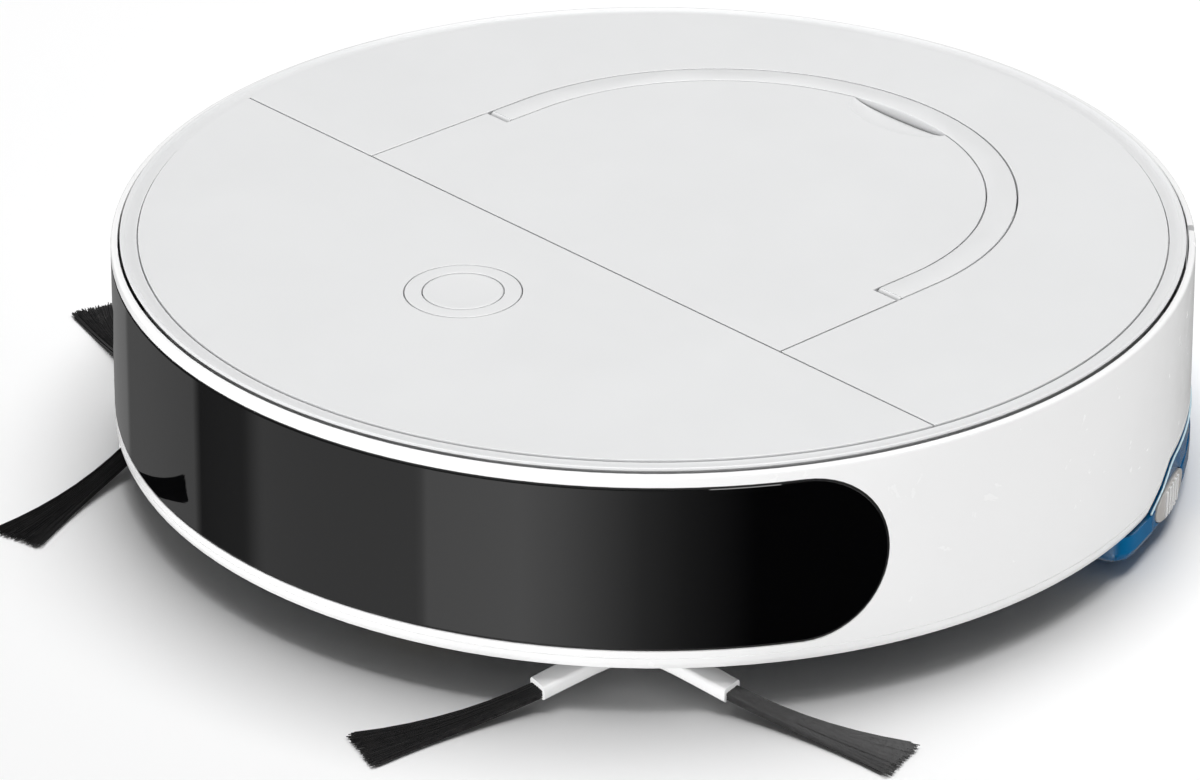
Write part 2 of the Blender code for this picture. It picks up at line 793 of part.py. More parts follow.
# ---------------------------------------------------------------- main roller
fins = []
FIN_COUNT = 6
for i in range(FIN_COUNT):
    for share, radius in ((0.0, 12.0), (0.30, 12.0), (0.36, 21.2), (0.48, 21.2), (0.54, 12.0)):
        angle = 2 * math.pi * (i + share) / FIN_COUNT
        fins.append((ROLLER_Y + radius * math.cos(angle), ROLLER_Z + radius * math.sin(angle)))
roller = finish(
    "main_roller",
    Solid().rings([[(x, y, z) for y, z in fins] for x in (-78.0, 78.0)], False, True),
    BRISTLE,
    origin=(0.0, ROLLER_Y, ROLLER_Z),
    smooth=False,
)
add(roller, cylinder(3.0, -84.4, 84.4, (ROLLER_Y, ROLLER_Z), 20, "x"))
guard = finish(
    "roller_guard",
    box((-90.0, 90.0), (-28.0, 33.6), (11.9, 13.7)),
    DARK_PLASTIC,
    smooth=False,
)
cut(guard, box((-80.5, 80.5), (-18.6, 28.0), (8.0, 18.0)))

# ---------------------------------------------------------------- side brushes
TUFT_ROWS = (
    (28.4, 6.4, 5.7, 8.3),
    (45.0, 8.2, 3.8, 6.0),
    (62.0, 11.0, 1.9, 3.9),
    (76.0, 14.5, 0.8, 2.4),
    (BRUSH_LENGTH, 18.0, 0.4, 1.5),
)
for side, word in ((1, "right"), (-1, "left")):
    centre = (side * BRUSH_XY[0], BRUSH_XY[1])
    hub_profile = [
        (0, 8.4),
        (7.5, 8.4),
        (9.5, 9.6),
        (9.5, 13.0),
        (8.8, 13.6),
        (3.0, 13.6),
        (3.0, 10.0),
        (0, 10.0),
    ]
    hub = finish(
        f"side_brush_hub_{word}",
        turned(hub_profile, 20, centre),
        GLOSS_WHITE,
        origin=(*centre, 8.4),
    )
    for number, degrees in enumerate(BRUSH_ANGLES[word], 1):
        angle = math.radians(degrees)
        along = Vector((math.cos(angle), math.sin(angle), 0.0))
        across = Vector((-math.sin(angle), math.cos(angle), 0.0))
        middle = Vector((*centre, 0.0))

        def section(reach, width, low, high):
            base = middle + along * reach
            corners = []
            for sideways, z in ((-0.5, low), (0.5, low), (0.5, high), (-0.5, high)):
                point = base + across * width * sideways
                corners.append((point.x, point.y, z))
            return corners

        add(hub, Solid().rings(
            [section(4.5, 8.6, 8.9, 12.6), section(16.0, 8.2, 7.4, 11.6), section(28.0, 7.4, 5.2, 9.0)],
            False,
            True,
        ))
        finish(
            f"side_brush_tuft_{word}_{number}",
            Solid().rings([section(*row) for row in TUFT_ROWS], False, True),
            BRISTLE,
            origin=(*centre, 8.4),
            smooth=False,
        )

# ---------------------------------------------------------------- water tank and mop
def tank_outline(radius, front, corner=9.0):
    """A disc cut by a straight front edge, with rounded front corners."""
    start = math.degrees(math.acos(-front / radius))
    bend = math.degrees(corner / radius)
    tip = Vector(at_azimuth(radius, start))
    on_chord = tip - Vector((corner, 0.0))
    on_arc = Vector(at_azimuth(radius, start + bend))
    right = []
    for i in range(5):
        t = i / 4
        point = on_chord * (1 - t) ** 2 + tip * 2 * t * (1 - t) + on_arc * t * t
        right.append(tuple(point))
    arc = 36
    sweep = 360.0 - 2 * (start + bend)
    rear = [at_azimuth(radius, start + bend + sweep * i / arc) for i in range(1, arc)]
    return right + rear + [(-x, y) for x, y in reversed(right)]


def rest_radius(z):
    return TANK_RADIUS - 0.4 * (z - 8.0) / 16.0 if z > 8.0 else TANK_RADIUS


tank_rows = [(3.2, 6.0), (4.0, 3.0), (5.6, 1.0), (8.0, 0.0), (13.4, 0.15)]
tank = finish(
    "water_tank",
    loft([(z, tank_outline(TANK_RADIUS - i, TANK_FRONT + i * 0.4)) for z, i in tank_rows]),
    TANK_BLUE,
)
rim_line = [(a + 0.9, z - 0.45) for a, z in FOOT_LINE[1:]]
rim_columns = [(a, 9.0, z) for a, z in rim_line]
rim_columns += [(120.0 + 4.0 * i, 9.0, REAR_FOOT - 0.45) for i in range(31)]
rim_columns += [(360.0 - a, low, high) for a, low, high in reversed(rim_columns[: len(rim_line)])]
upper = disc_outline(158.9, TANK_FRONT + 0.6, 180.0)
upper = [(max(-TANK_UPPER_HALF, min(TANK_UPPER_HALF, x)), y) for x, y in upper]
add(
    tank,
    prism(upper, 12.0, 22.35),
    curved_plate(rim_columns, lambda z: rest_radius(z) - 0.25, lambda z: 152.0),
)
release_columns = []
for share in (-0.99, -0.9, -0.7, -0.35, 0.0, 0.35, 0.7, 0.9, 0.99):
    release_columns.append((share, math.sqrt(1 - share * share)))


def release_plate(side, margin, outer, inner):
    columns = []
    for share, height in release_columns:
        azimuth = RELEASE_AZIMUTH + share * (RELEASE_HALF[0] + margin * 0.35)
        half = height * (RELEASE_HALF[1] + margin)
        columns.append((azimuth, RELEASE_Z - half, RELEASE_Z + half))
    if side < 0:
        columns = [(-a, low, high) for a, low, high in reversed(columns)]
    return curved_plate(columns, outer, inner)


cut(
    tank,
    release_plate(1, 0.4, lambda z: 175.0, lambda z: 156.8),
    release_plate(-1, 0.4, lambda z: 175.0, lambda z: 156.8),
    prism(disc_outline(151.0, 42.5, 180.0, 60), 0.0, 6.2),
    prism(disc_outline(146.0, 42.0, 180.0, 48), 8.4, 20.4),
    cylinder(7.0, 18.0, 25.0, (0.0, 132.0), 24),
)
plug_profile = [(0, 18.6), (6.0, 18.6), (6.7, 20.2), (6.7, 22.4), (0, 22.4)]
finish("tank_plug", turned(plug_profile, 28, (0.0, 132.0)), RUBBER)
for side, word in ((1, "right"), (-1, "left")):
    x, y = at_azimuth(163.0, side * RELEASE_AZIMUTH)
    finish(
        f"release_button_{word}",
        release_plate(side, 0.0, lambda z: 167.2, lambda z: 159.6),
        BUTTON_GREY,
        origin=(x, y, RELEASE_Z),
    )
finish("mop_plate", prism(disc_outline(150.4, 43.2, 180.0, 60), 3.3, 5.9), DARK_PLASTIC)
finish("mop_cloth", prism(disc_outline(149.0, 44.0, 180.0, 60), 0.35, 3.0), CLOTH)
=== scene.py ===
"""Finish, light and fine detail of a robotic floor cleaner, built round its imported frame.

Sizes are in millimetres in the machine's own coordinates: the origin is on the floor under the centre
of the round body, the front faces -Y, and azimuths are degrees from the front, growing towards +X.
"""

import json
import math

import bmesh
import bpy
from mathutils import Matrix, Vector

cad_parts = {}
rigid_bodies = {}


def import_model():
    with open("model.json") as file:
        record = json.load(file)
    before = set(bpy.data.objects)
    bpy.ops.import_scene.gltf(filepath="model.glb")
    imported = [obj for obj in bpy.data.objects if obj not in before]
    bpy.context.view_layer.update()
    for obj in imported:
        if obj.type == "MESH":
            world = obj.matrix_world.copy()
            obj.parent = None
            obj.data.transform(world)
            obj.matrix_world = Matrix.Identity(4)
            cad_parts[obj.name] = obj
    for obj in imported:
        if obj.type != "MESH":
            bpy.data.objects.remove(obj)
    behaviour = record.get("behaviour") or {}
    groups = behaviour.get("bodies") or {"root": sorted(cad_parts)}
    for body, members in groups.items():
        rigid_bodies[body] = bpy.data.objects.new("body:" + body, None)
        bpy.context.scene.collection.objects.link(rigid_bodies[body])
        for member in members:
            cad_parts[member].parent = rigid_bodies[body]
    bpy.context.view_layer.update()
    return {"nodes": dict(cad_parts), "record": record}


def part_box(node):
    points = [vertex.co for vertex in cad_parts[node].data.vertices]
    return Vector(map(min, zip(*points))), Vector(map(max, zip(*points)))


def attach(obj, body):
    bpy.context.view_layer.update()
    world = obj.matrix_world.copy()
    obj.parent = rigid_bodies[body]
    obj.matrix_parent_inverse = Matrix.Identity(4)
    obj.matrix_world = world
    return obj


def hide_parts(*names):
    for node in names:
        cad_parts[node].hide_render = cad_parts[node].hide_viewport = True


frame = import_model()

MM = 0.001
ring_low, ring_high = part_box("top_ring")
CENTRE = Vector(((ring_low.x + ring_high.x) / 2, (ring_low.y + ring_high.y) / 2, 0.0))

WALL_RIM = 165.05
WALL_FOOT = 166.55
TOP = 75.6
PANEL_LOW = 73.4
PANEL_RADIUS = 156.7
SEAM_Y = -35.4
D_CENTRE_Y = 29.0
LID_HALF = 91.2
LID_INNER = 81.7
BUTTON_Y = -76.7
WINDOW_REACH = 70.4
WINDOW_Z = (20.3, 70.9)
BUMPER_END = 134.0
REAR_START = 135.3
REAR_FOOT = 23.1
TANK_RADIUS = 167.0
RELEASE_AZIMUTH = 115.7
BRUSH_XY = (104.1, -103.6)
BRUSH_ANGLES = {"right": (-104.6, 15.4, 135.4), "left": (-73.5, 166.5, 46.5)}
BRUSH_LENGTH = 87.5
WHEEL = (105.6, -3.0, 33.0)
ROLLER = (5.0, 22.4)


# ------------------------------------------------------------------ node trees in plain arithmetic
def arithmetic(operation):
    def forward(self, other):
        return self.graph.maths(operation, self, other)

    def reflected(self, other):
        return self.graph.maths(operation, other, self)

    return forward, reflected


class Value:
    """One output socket of a node tree. Arithmetic on it adds Math nodes."""

    __add__, __radd__ = arithmetic("ADD")
    __sub__, __rsub__ = arithmetic("SUBTRACT")
    __mul__, __rmul__ = arithmetic("MULTIPLY")
    __truediv__, __rtruediv__ = arithmetic("DIVIDE")
    __pow__, __rpow__ = arithmetic("POWER")
    __mod__, __rmod__ = arithmetic("FLOORED_MODULO")
    __gt__, _ = arithmetic("GREATER_THAN")
    __lt__, _ = arithmetic("LESS_THAN")

    def __init__(self, graph, node, socket):
        self.graph, self.node, self.socket = graph, node, socket

    def __getitem__(self, name):
        return Value(self.graph, self.node, self.node.outputs[name])


class Graph:
    """Adds nodes to a shader or geometry tree."""

    def __init__(self, tree):
        self.tree = tree

    def add(self, kind, settings=None, inputs=None):
        node = self.tree.nodes.new(kind)
        for name, value in (settings or {}).items():
            if name == "stops":
                self.colour_stops(node.color_ramp, value)
            else:
                setattr(node, name, value)
        for name, value in (inputs or {}).items():
            if isinstance(name, int):
                socket = node.inputs[name]
            else:
                socket = next(s for s in node.inputs if s.name == name and s.enabled)
            if isinstance(value, Value):
                self.tree.links.new(value.socket, socket)
            else:
                socket.default_value = value
        shown = next((s for s in node.outputs if s.enabled), None)
        return Value(self, node, shown)

    def colour_stops(self, ramp, stops):
        ramp.elements[0].position = stops[0][0]
        ramp.elements[-1].position = stops[-1][0]
        for place, _ in stops[1:-1]:
            ramp.elements.new(place)
        for element, (_, shade) in zip(ramp.elements, stops):
            element.color = (shade, shade, shade, 1.0) if isinstance(shade, float) else (*shade, 1.0)

    def maths(self, operation, *values):
        return self.add("ShaderNodeMath", {"operation": operation}, dict(enumerate(values)))

    def vector(self, operation, *values):
        return self.add("ShaderNodeVectorMath", {"operation": operation}, dict(enumerate(values)))

    def scaled(self, vector, factor):
        made = self.add("ShaderNodeVectorMath", {"operation": "SCALE"}, {"Vector": vector, "Scale": factor})
        return made

    def mix(self, factor, a, b):
        tints = [(*c, 1.0) if isinstance(c, tuple) else c for c in (a, b)]
        settings = {"data_type": "RGBA"}
        made = self.add("ShaderNodeMix", settings, {0: factor, 6: tints[0], 7: tints[1]})
        return Value(self, made.node, made.node.outputs[2])

    def noise(self, place, scale, detail=2.0, rough=0.5, spread=0.0):
        inputs = {
            "Vector": place,
            "Scale": scale,
            "Detail": detail,
            "Roughness": rough,
            "Distortion": spread,
        }
        return self.add("ShaderNodeTexNoise", None, inputs)

    def stretched(self, place, scale, turn=(0.0, 0.0, 0.0)):
        return self.add("ShaderNodeMapping", None, {"Vector": place, "Scale": scale, "Rotation": turn})

    def step(self, value, low, high, to_low=0.0, to_high=1.0):
        inputs = {
            "Value": value,
            "From Min": low,
            "From Max": high,
            "To Min": to_low,
            "To Max": to_high,
        }
        return self.add("ShaderNodeMapRange", None, inputs)

    def bump(self, height, distance, strength=1.0, normal=None):
        inputs = {"Height": height, "Distance": distance, "Strength": strength}
        if normal is not None:
            inputs["Normal"] = normal
        return self.add("ShaderNodeBump", None, inputs)


def surface(name, recipe):
    """A material whose Principled sockets come from recipe(graph, object coordinates)."""
    made = bpy.data.materials.new(name)
    made.use_nodes = True
    made.node_tree.nodes.clear()
    graph = Graph(made.node_tree)
    place = graph.add("ShaderNodeTexCoord")["Object"]
    shader = graph.add("ShaderNodeBsdfPrincipled", None, recipe(graph, place))
    graph.add("ShaderNodeOutputMaterial", None, {"Surface": shader})
    return made


def moulded(name, light, dark, rough, grain=4200.0, depth=0.000012, **fixed):
    """Injection-moulded plastic: faint colour drift, spark-eroded grain and handling marks."""
    def recipe(g, place):
        drift = g.noise(place, 22.0, 3.0)
        marks = g.noise(place, 130.0, 4.0, 0.62, 0.4)
        texture = g.noise(place, grain, 2.0, 0.6)
        waves = g.noise(place, 260.0, 1.0)
        height = texture * 0.8 + waves * 0.9
        sockets = {
            "Base Color": g.mix(g.step(drift, 0.32, 0.68), dark, light),
            "Roughness": g.step(marks, 0.3, 0.75, rough - 0.035, rough + 0.05),
            "Normal": g.bump(height, depth),
        }
        sockets.update({key.replace("_", " "): value for key, value in fixed.items()})
        return sockets

    return surface(name, recipe)


def window_black(g, place):
    smear = g.noise(g.stretched(place, (9.0, 9.0, 34.0)), 3.0, 5.0, 0.6, 0.6)
    dust = g.noise(place, 2600.0, 1.0)
    speck = g.step(dust, 0.74, 0.8)
    return {
        "Base Color": g.mix(speck, (0.0012, 0.0012, 0.0014), (0.012, 0.012, 0.012)),
        "Roughness": g.step(smear, 0.35, 0.8, 0.012, 0.05),
        "Normal": g.bump(g.noise(place, 26.0, 1.0), 0.00002),
        "IOR": 1.5,
    }


def tank_blue(g, place):
    drift = g.noise(place, 18.0, 2.0)
    flow = g.noise(g.stretched(place, (30.0, 30.0, 140.0)), 2.0, 4.0, 0.6)
    return {
        "Base Color": g.mix(g.step(drift, 0.3, 0.7), (0.003, 0.115, 0.290), (0.005, 0.150, 0.350)),
        "Roughness": g.step(flow, 0.3, 0.8, 0.05, 0.12),
        "Normal": g.bump(g.noise(place, 320.0, 2.0), 0.00001),
        "IOR": 1.46,
        "Transmission Weight": 0.2,
        "Coat Weight": 0.2,
        "Coat Roughness": 0.04,
    }


def smoked_clear(g, place):
    haze = g.noise(place, 60.0, 4.0)
    return {
        "Base Color": g.mix(g.step(haze, 0.3, 0.7), (0.16, 0.175, 0.19), (0.22, 0.235, 0.25)),
        "Roughness": g.step(haze, 0.3, 0.8, 0.1, 0.24),
        "Normal": g.bump(g.noise(place, 420.0, 2.0), 0.00001),
        "Transmission Weight": 0.6,
        "IOR": 1.5,
    }


def bristle_black(g, place):
    strand = g.noise(place, 900.0, 2.0)
    dust = g.noise(place, 160.0, 3.0)
    tint = g.mix(g.step(strand, 0.35, 0.7), (0.010, 0.010, 0.011), (0.030, 0.029, 0.029))
    return {
        "Base Color": g.mix(g.step(dust, 0.6, 0.8, 0.0, 0.35), tint, (0.06, 0.057, 0.053)),
        "Roughness": g.step(strand, 0.3, 0.7, 0.36, 0.55),
        "Normal": g.bump(strand, 0.00002),
    }


def soft_rubber(name, tone, lift, scale=1400.0):
    def recipe(g, place):
        grain = g.noise(place, scale, 4.0, 0.65)
        bloom = g.noise(place, 70.0, 3.0, 0.6)
        tint = g.mix(g.step(bloom, 0.45, 0.75), (tone,) * 3, (tone + lift,) * 3)
        return {
            "Base Color": tint,
            "Roughness": g.step(bloom, 0.3, 0.7, 0.62, 0.82),
            "Normal": g.bump(grain, 0.00006),
            "Specular IOR Level": 0.4,
        }

    return surface(name, recipe)


def brushed_metal(name, light, dark, rough, along=(20.0, 1500.0, 1500.0)):
    def recipe(g, place):
        lines = g.noise(g.stretched(place, along), 1.0, 3.0, 0.7)
        cloud = g.noise(place, 90.0, 3.0)
        return {
            "Base Color": g.mix(g.step(cloud, 0.3, 0.7), dark, light),
            "Metallic": 1.0,
            "Roughness": g.step(lines, 0.3, 0.7, rough - 0.07, rough + 0.1),
            "Normal": g.bump(lines, 0.00002),
        }

    return surface(name, recipe)


def circuit_green(g, place):
    lanes = g.add(
        "ShaderNodeTexBrick",
        {"offset": 0.5, "squash": 1.0},
        {
            "Vector": place,
            "Scale": 150.0,
            "Mortar Size": 0.05,
            "Mortar Smooth": 0.1,
            "Brick Width": 1.4,
            "Row Height": 0.35,
            "Color1": (0.0, 0.0, 0.0, 1.0),
            "Color2": (0.25, 0.25, 0.25, 1.0),
            "Mortar": (1.0, 1.0, 1.0, 1.0),
        },
    )
    track = g.add("ShaderNodeSeparateColor", None, {"Color": lanes})["Red"]
    pads = g.add("ShaderNodeTexVoronoi", {"feature": "F1"}, {"Vector": place, "Scale": 260.0})
    pad = g.step(pads, 0.16, 0.13)
    board = g.mix(track, (0.008, 0.085, 0.03), (0.02, 0.17, 0.06))
    return {
        "Base Color": g.mix(pad, board, (0.62, 0.55, 0.42)),
        "Roughness": g.step(track, 0.0, 1.0, 0.28, 0.42),
        "Metallic": pad * 0.8,
        "Normal": g.bump(track + pad, 0.00004),
    }


def battery_wrap(g, place):
    crease = g.noise(g.stretched(place, (60.0, 240.0, 60.0)), 1.0, 5.0, 0.6, 0.8)
    return {
        "Base Color": g.mix(g.step(crease, 0.3, 0.7), (0.012, 0.05, 0.16), (0.02, 0.085, 0.24)),
        "Roughness": g.step(crease, 0.3, 0.7, 0.22, 0.4),
        "Normal": g.bump(crease, 0.0002),
    }


def filter_paper(g, place):
    fibres = g.noise(g.stretched(place, (900.0, 900.0, 240.0)), 1.0, 5.0, 0.7, 0.5)
    return {
        "Base Color": g.mix(g.step(fibres, 0.3, 0.72), (0.60, 0.58, 0.50), (0.80, 0.78, 0.72)),
        "Roughness": 0.95,
        "Normal": g.bump(fibres, 0.00012),
    }


def microfibre(g, place):
    """Looped pile in narrow stripes, with a darker scrubbing stripe now and then."""
    across = g.add("ShaderNodeSeparateXYZ", None, {"Vector": place})
    stripe = g.maths("SINE", across["X"] * 900.0)
    band = g.maths("SINE", across["X"] * 160.0)
    loops = g.add("ShaderNodeTexVoronoi", {"feature": "F1"}, {"Vector": place, "Scale": 1100.0})
    fuzz = g.noise(place, 2400.0, 3.0, 0.7)
    tone = g.step(stripe, -1.0, 1.0) * 0.5 + fuzz * 0.5
    base = g.mix(tone, (0.40, 0.43, 0.47), (0.68, 0.71, 0.75))
    height = (1.0 - loops) * 0.7 + g.step(stripe, -1.0, 1.0) * 0.5 + fuzz * 0.3
    return {
        "Base Color": g.mix(g.step(band, 0.93, 0.97), base, (0.16, 0.30, 0.44)),
        "Roughness": 0.95,
        "Sheen Weight": 0.5,
        "Sheen Roughness": 0.5,
        "Normal": g.bump(height, 0.0005),
    }


def floor_white(g, place):
    cloud = g.noise(place, 3.0, 3.0)
    return {
        "Base Color": g.mix(cloud, (0.945, 0.945, 0.946), (0.955, 0.955, 0.956)),
        "Roughness": g.step(cloud, 0.3, 0.7, 0.85, 0.92),
        "Specular IOR Level": 0.1,
    }


GREY_LIGHT, GREY_DEEP = (0.690, 0.694, 0.698), (0.676, 0.680, 0.684)
FINISH = {
    "white_shell": moulded(
        "gloss_white", (0.875, 0.875, 0.875), (0.862, 0.862, 0.863), 0.24, 900.0, 0.000004,
        IOR=1.5, Coat_Weight=0.3, Coat_Roughness=0.1,
    ),
    "top_panel": moulded("satin_top", GREY_LIGHT, GREY_DEEP, 0.42, 5200.0, 0.000008, IOR=1.48),
    "inner_frame": moulded("frame_grey", (0.25, 0.26, 0.27), (0.22, 0.23, 0.24), 0.5, 2600.0, 0.00003),
    "dark_plastic": moulded("dark_plastic", (0.045, 0.045, 0.048), (0.034, 0.034, 0.037), 0.46, 3000.0,
                            0.00003),
    "gloss_black": surface("window_black", window_black),
    "battery_wrap": surface("battery_wrap", battery_wrap),
    "contact_brass": brushed_metal("contact_brass", (0.80, 0.60, 0.26), (0.62, 0.44, 0.18), 0.26),
    "circuit_board": surface("circuit_green", circuit_green),
    "steel": brushed_metal("drawn_steel", (0.62, 0.62, 0.63), (0.46, 0.46, 0.48), 0.28),
    "impeller_nylon": moulded("impeller_nylon", (0.60, 0.59, 0.56), (0.50, 0.49, 0.47), 0.5, 1800.0,
                              0.00004),
    "smoked_bin": surface("smoked_clear", smoked_clear),
    "filter_paper": surface("filter_paper", filter_paper),
    "black_rubber": soft_rubber("black_rubber", 0.018, 0.02),
    "tyre": soft_rubber("tyre_rubber", 0.022, 0.035, 900.0),
    "bristle": surface("bristle_black", bristle_black),
    "blue_tank": surface("tank_blue", tank_blue),
    # pale cyan plastic: a painted highlight for the lit upper lip of the blue tank
    "tank_edge": moulded("tank_edge", (0.62, 0.78, 0.84), (0.52, 0.70, 0.78), 0.2, 1500.0, 0.00001),
    "release_grey": moulded("release_grey", (0.47, 0.45, 0.43), (0.42, 0.40, 0.38), 0.3, 1500.0, 0.00001),
    "mop_cloth": surface("microfibre", microfibre),
}
SLOT_OF = {part["node"]: part["material_slot"] for part in frame["record"]["subparts"]}
BODY_OF = {
    node: body
    for body, members in frame["record"]["behaviour"]["bodies"].items()
    for node in members
}


# ------------------------------------------------------------------ making meshes
def at_azimuth(radius, azimuth):
    angle = math.radians(azimuth)
    return radius * math.sin(angle), -radius * math.cos(angle)


def outward(mesh):
    """Merges doubles, drops loose edges and points every face out of the closed shape."""
    bmesh.ops.remove_doubles(mesh, verts=mesh.verts, dist=0.0004)
    loose = [edge for edge in mesh.edges if not edge.link_faces]
    bmesh.ops.delete(mesh, geom=loose, context="EDGES")
    bmesh.ops.recalc_face_normals(mesh, faces=mesh.faces)


def skin(mesh, rings, loop=False, capped=True):
    """Skins equal rings of points."""
    rows = [[mesh.verts.new(point) for point in ring] for ring in rings]
    count = len(rows[0])
    pairs = list(zip(rows, rows[1:])) + ([(rows[-1], rows[0])] if loop else [])
    for low, high in pairs:
        for i in range(count):
            j = (i + 1) % count
            mesh.faces.new((low[i], low[j], high[j], high[i]))
    if capped and not loop:
        mesh.faces.new(rows[0])
        mesh.faces.new(rows[-1])
    return mesh


def piece(name, mesh, slot, angle=30.0, flat_tops=False):
    """Turns a millimetre bmesh into an object in place, shaded smooth up to an angle."""
    for vert in mesh.verts:
        vert.co = vert.co * MM + CENTRE
    data = bpy.data.meshes.new(name)
    mesh.to_mesh(data)
    mesh.free()
    made = bpy.data.objects.new(name, data)
    bpy.context.scene.collection.objects.link(made)
    data.materials.append(FINISH[slot])
    data.shade_smooth()
    data.set_sharp_from_angle(angle=math.radians(angle))
    if flat_tops:
        steady = made.modifiers.new("steady", "WEIGHTED_NORMAL")
        steady.keep_sharp = True
        steady.weight = 100
    return made


def stands_for(made, *nodes):
    """The piece replaces CAD nodes and rides on their body."""
    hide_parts(*nodes)
    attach(made, BODY_OF[nodes[0]])
    return made


def applied(made):
    """Bakes an object's modifiers into a plain mesh."""
    graph = bpy.context.evaluated_depsgraph_get()
    data = bpy.data.meshes.new_from_object(made.evaluated_get(graph))
    data.name = made.name
    made.modifiers.clear()
    made.data = data
    return made


def turned(mesh, profile, steps, centre=(0.0, 0.0), axis="z"):
    """A closed (radius, height) profile turned round the axis through centre."""
    rings = []
    for i in range(steps):
        angle = 2 * math.pi * i / steps
        ring = []
        for radius, height in profile:
            u, v = radius * math.cos(angle), radius * math.sin(angle)
            if axis == "z":
                ring.append((centre[0] + u, centre[1] + v, height))
            else:
                ring.append((height, centre[0] + u, centre[1] + v))
        rings.append(ring)
    skin(mesh, rings, loop=True)
    return mesh


def merged_copy(node, bevel=0.0, angle=30.0, name=None):
    """A welded, smooth-shaded copy of a CAD node, with its edges eased."""
    mesh = bmesh.new()
    mesh.from_mesh(frame["nodes"][node].data)
    bmesh.ops.remove_doubles(mesh, verts=mesh.verts, dist=0.000002)
    bmesh.ops.dissolve_limit(
        mesh, angle_limit=math.radians(0.4), verts=mesh.verts, edges=mesh.edges
    )
    data = bpy.data.meshes.new(name or f"{node}_finished")
    mesh.to_mesh(data)
    mesh.free()
    made = bpy.data.objects.new(data.name, data)
    bpy.context.scene.collection.objects.link(made)
    data.materials.clear()
    data.materials.append(FINISH[SLOT_OF[node]])
    data.shade_smooth()
    data.set_sharp_from_angle(angle=math.radians(angle))
    if bevel:
        ease = made.modifiers.new("eased_edges", "BEVEL")
        ease.width = bevel * MM
        ease.segments = 2
        ease.limit_method = "ANGLE"
        ease.angle_limit = math.radians(38.0)
        ease.use_clamp_overlap = True
        ease.harden_normals = True
    return stands_for(made, node)


class Pattern:
    """A geometry tree with named sizes in millimetres, each run of which makes one plain piece."""

    def __init__(self, name, sizes, build):
        tree = bpy.data.node_groups.new(name, "GeometryNodeTree")
        tree.interface.new_socket("Geometry", in_out="INPUT", socket_type="NodeSocketGeometry")
        self.names = {}
        kinds = {int: "NodeSocketInt", float: "NodeSocketFloat", tuple: "NodeSocketVector"}
        for label, value in sizes.items():
            item = tree.interface.new_socket(label, in_out="INPUT", socket_type=kinds[type(value)])
            item.default_value = value
            self.names[label] = item.identifier
        finish = tree.interface.new_socket("Finish", in_out="INPUT", socket_type="NodeSocketMaterial")
        self.names["Finish"] = finish.identifier
        tree.interface.new_socket("Geometry", in_out="OUTPUT", socket_type="NodeSocketGeometry")
        graph = Graph(tree)
        entry = graph.add("NodeGroupInput")
        whole = graph.add("GeometryNodeRealizeInstances", None, {"Geometry": build(graph, entry)})
        painted = graph.add(
            "GeometryNodeSetMaterial", None, {"Geometry": whole, "Material": entry["Finish"]}
        )
        graph.add("NodeGroupOutput", None, {"Geometry": painted})
        self.tree = tree

    def make(self, name, slot, body, smooth=True, finish=None, **sizes):
        made = bpy.data.objects.new(name, bpy.data.meshes.new(name))
        bpy.context.scene.collection.objects.link(made)
        run = made.modifiers.new("pattern", "NODES")
        run.node_group = self.tree
        run[self.names["Finish"]] = FINISH[finish or slot]
        for label, value in sizes.items():
            run[self.names[label.replace("_", " ")]] = value
        applied(made)
        for vert in made.data.vertices:
            vert.co = vert.co * MM + CENTRE
        if smooth:
            made.data.shade_smooth()
            made.data.set_sharp_from_angle(angle=math.radians(50.0))
        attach(made, body)
        return made


def chance(g, number, seed, low=0.0, high=1.0):
    return g.add(
        "FunctionNodeRandomValue", {"data_type": "FLOAT"}, {2: low, 3: high, 7: number, 8: seed}
    )


def instanced(g, points, shape, turn=None, size=None):
    inputs = {"Points": points, "Instance": shape}
    if turn is not None:
        inputs["Rotation"] = turn
    if size is not None:
        inputs["Scale"] = size
    return g.add("GeometryNodeInstanceOnPoints", None, inputs)


def xyz(g, x, y, z):
    return g.add("ShaderNodeCombineXYZ", None, {0: x, 1: y, 2: z})


def tuft_shape(g, size):
    """Bristles that leave the holder together, drop to the floor and fan out along it."""
    strand = g.add("GeometryNodeCurvePrimitiveLine", None, {"Start": (0, 0, 0), "End": (0, 0, 1.0)})
    strand = g.add("GeometryNodeResampleCurve", None, {"Curve": strand, "Count": 8})
    roots = g.add("GeometryNodePoints", None, {"Count": size["Bristles"]})
    strands = g.add("GeometryNodeRealizeInstances", None, {"Geometry": instanced(g, roots, strand)})
    number = g.add("GeometryNodeCurveOfPoint")["Curve Index"]
    seed = size["Seed"]
    along = g.add("GeometryNodeSplineParameter")["Factor"]
    along = along * (1.0 - chance(g, number, seed) * size["Ragged"])
    spread = size["Root width"] + (size["Tip width"] - size["Root width"]) * along ** 2.3
    place = chance(g, number, seed + 1.0, -0.5, 0.5)
    stray = chance(g, number, seed + 2.0, -1.0, 1.0) * along * along
    side = place * spread + stray * 0.5 + size["Bend"] * along * along
    depth = chance(g, number, seed + 3.0, -0.5, 0.5) * (size["Depth"] * (1.0 - along * 0.6))
    height = 1.1 + (size["Root height"] - 1.1) * (1.0 - along) ** 2.4 + depth
    height = g.maths("MAXIMUM", height, 0.25)
    point = g.vector("ADD", size["Root"], g.scaled(size["Direction"], along * size["Length"]))
    point = g.vector("ADD", point, g.scaled(size["Across"], side))
    point = g.vector("ADD", point, xyz(g, 0.0, 0.0, height))
    strands = g.add("GeometryNodeSetPosition", None, {"Geometry": strands, "Position": point})
    section = g.add(
        "GeometryNodeCurvePrimitiveCircle", None, {"Resolution": 3, "Radius": size["Thickness"]}
    )
    taper = 1.0 - along * 0.35
    strands = g.add("GeometryNodeSetCurveRadius", None, {"Curve": strands, "Radius": taper})
    return g.add(
        "GeometryNodeCurveToMesh", None, {"Curve": strands, "Profile Curve": section, "Fill Caps": True}
    )


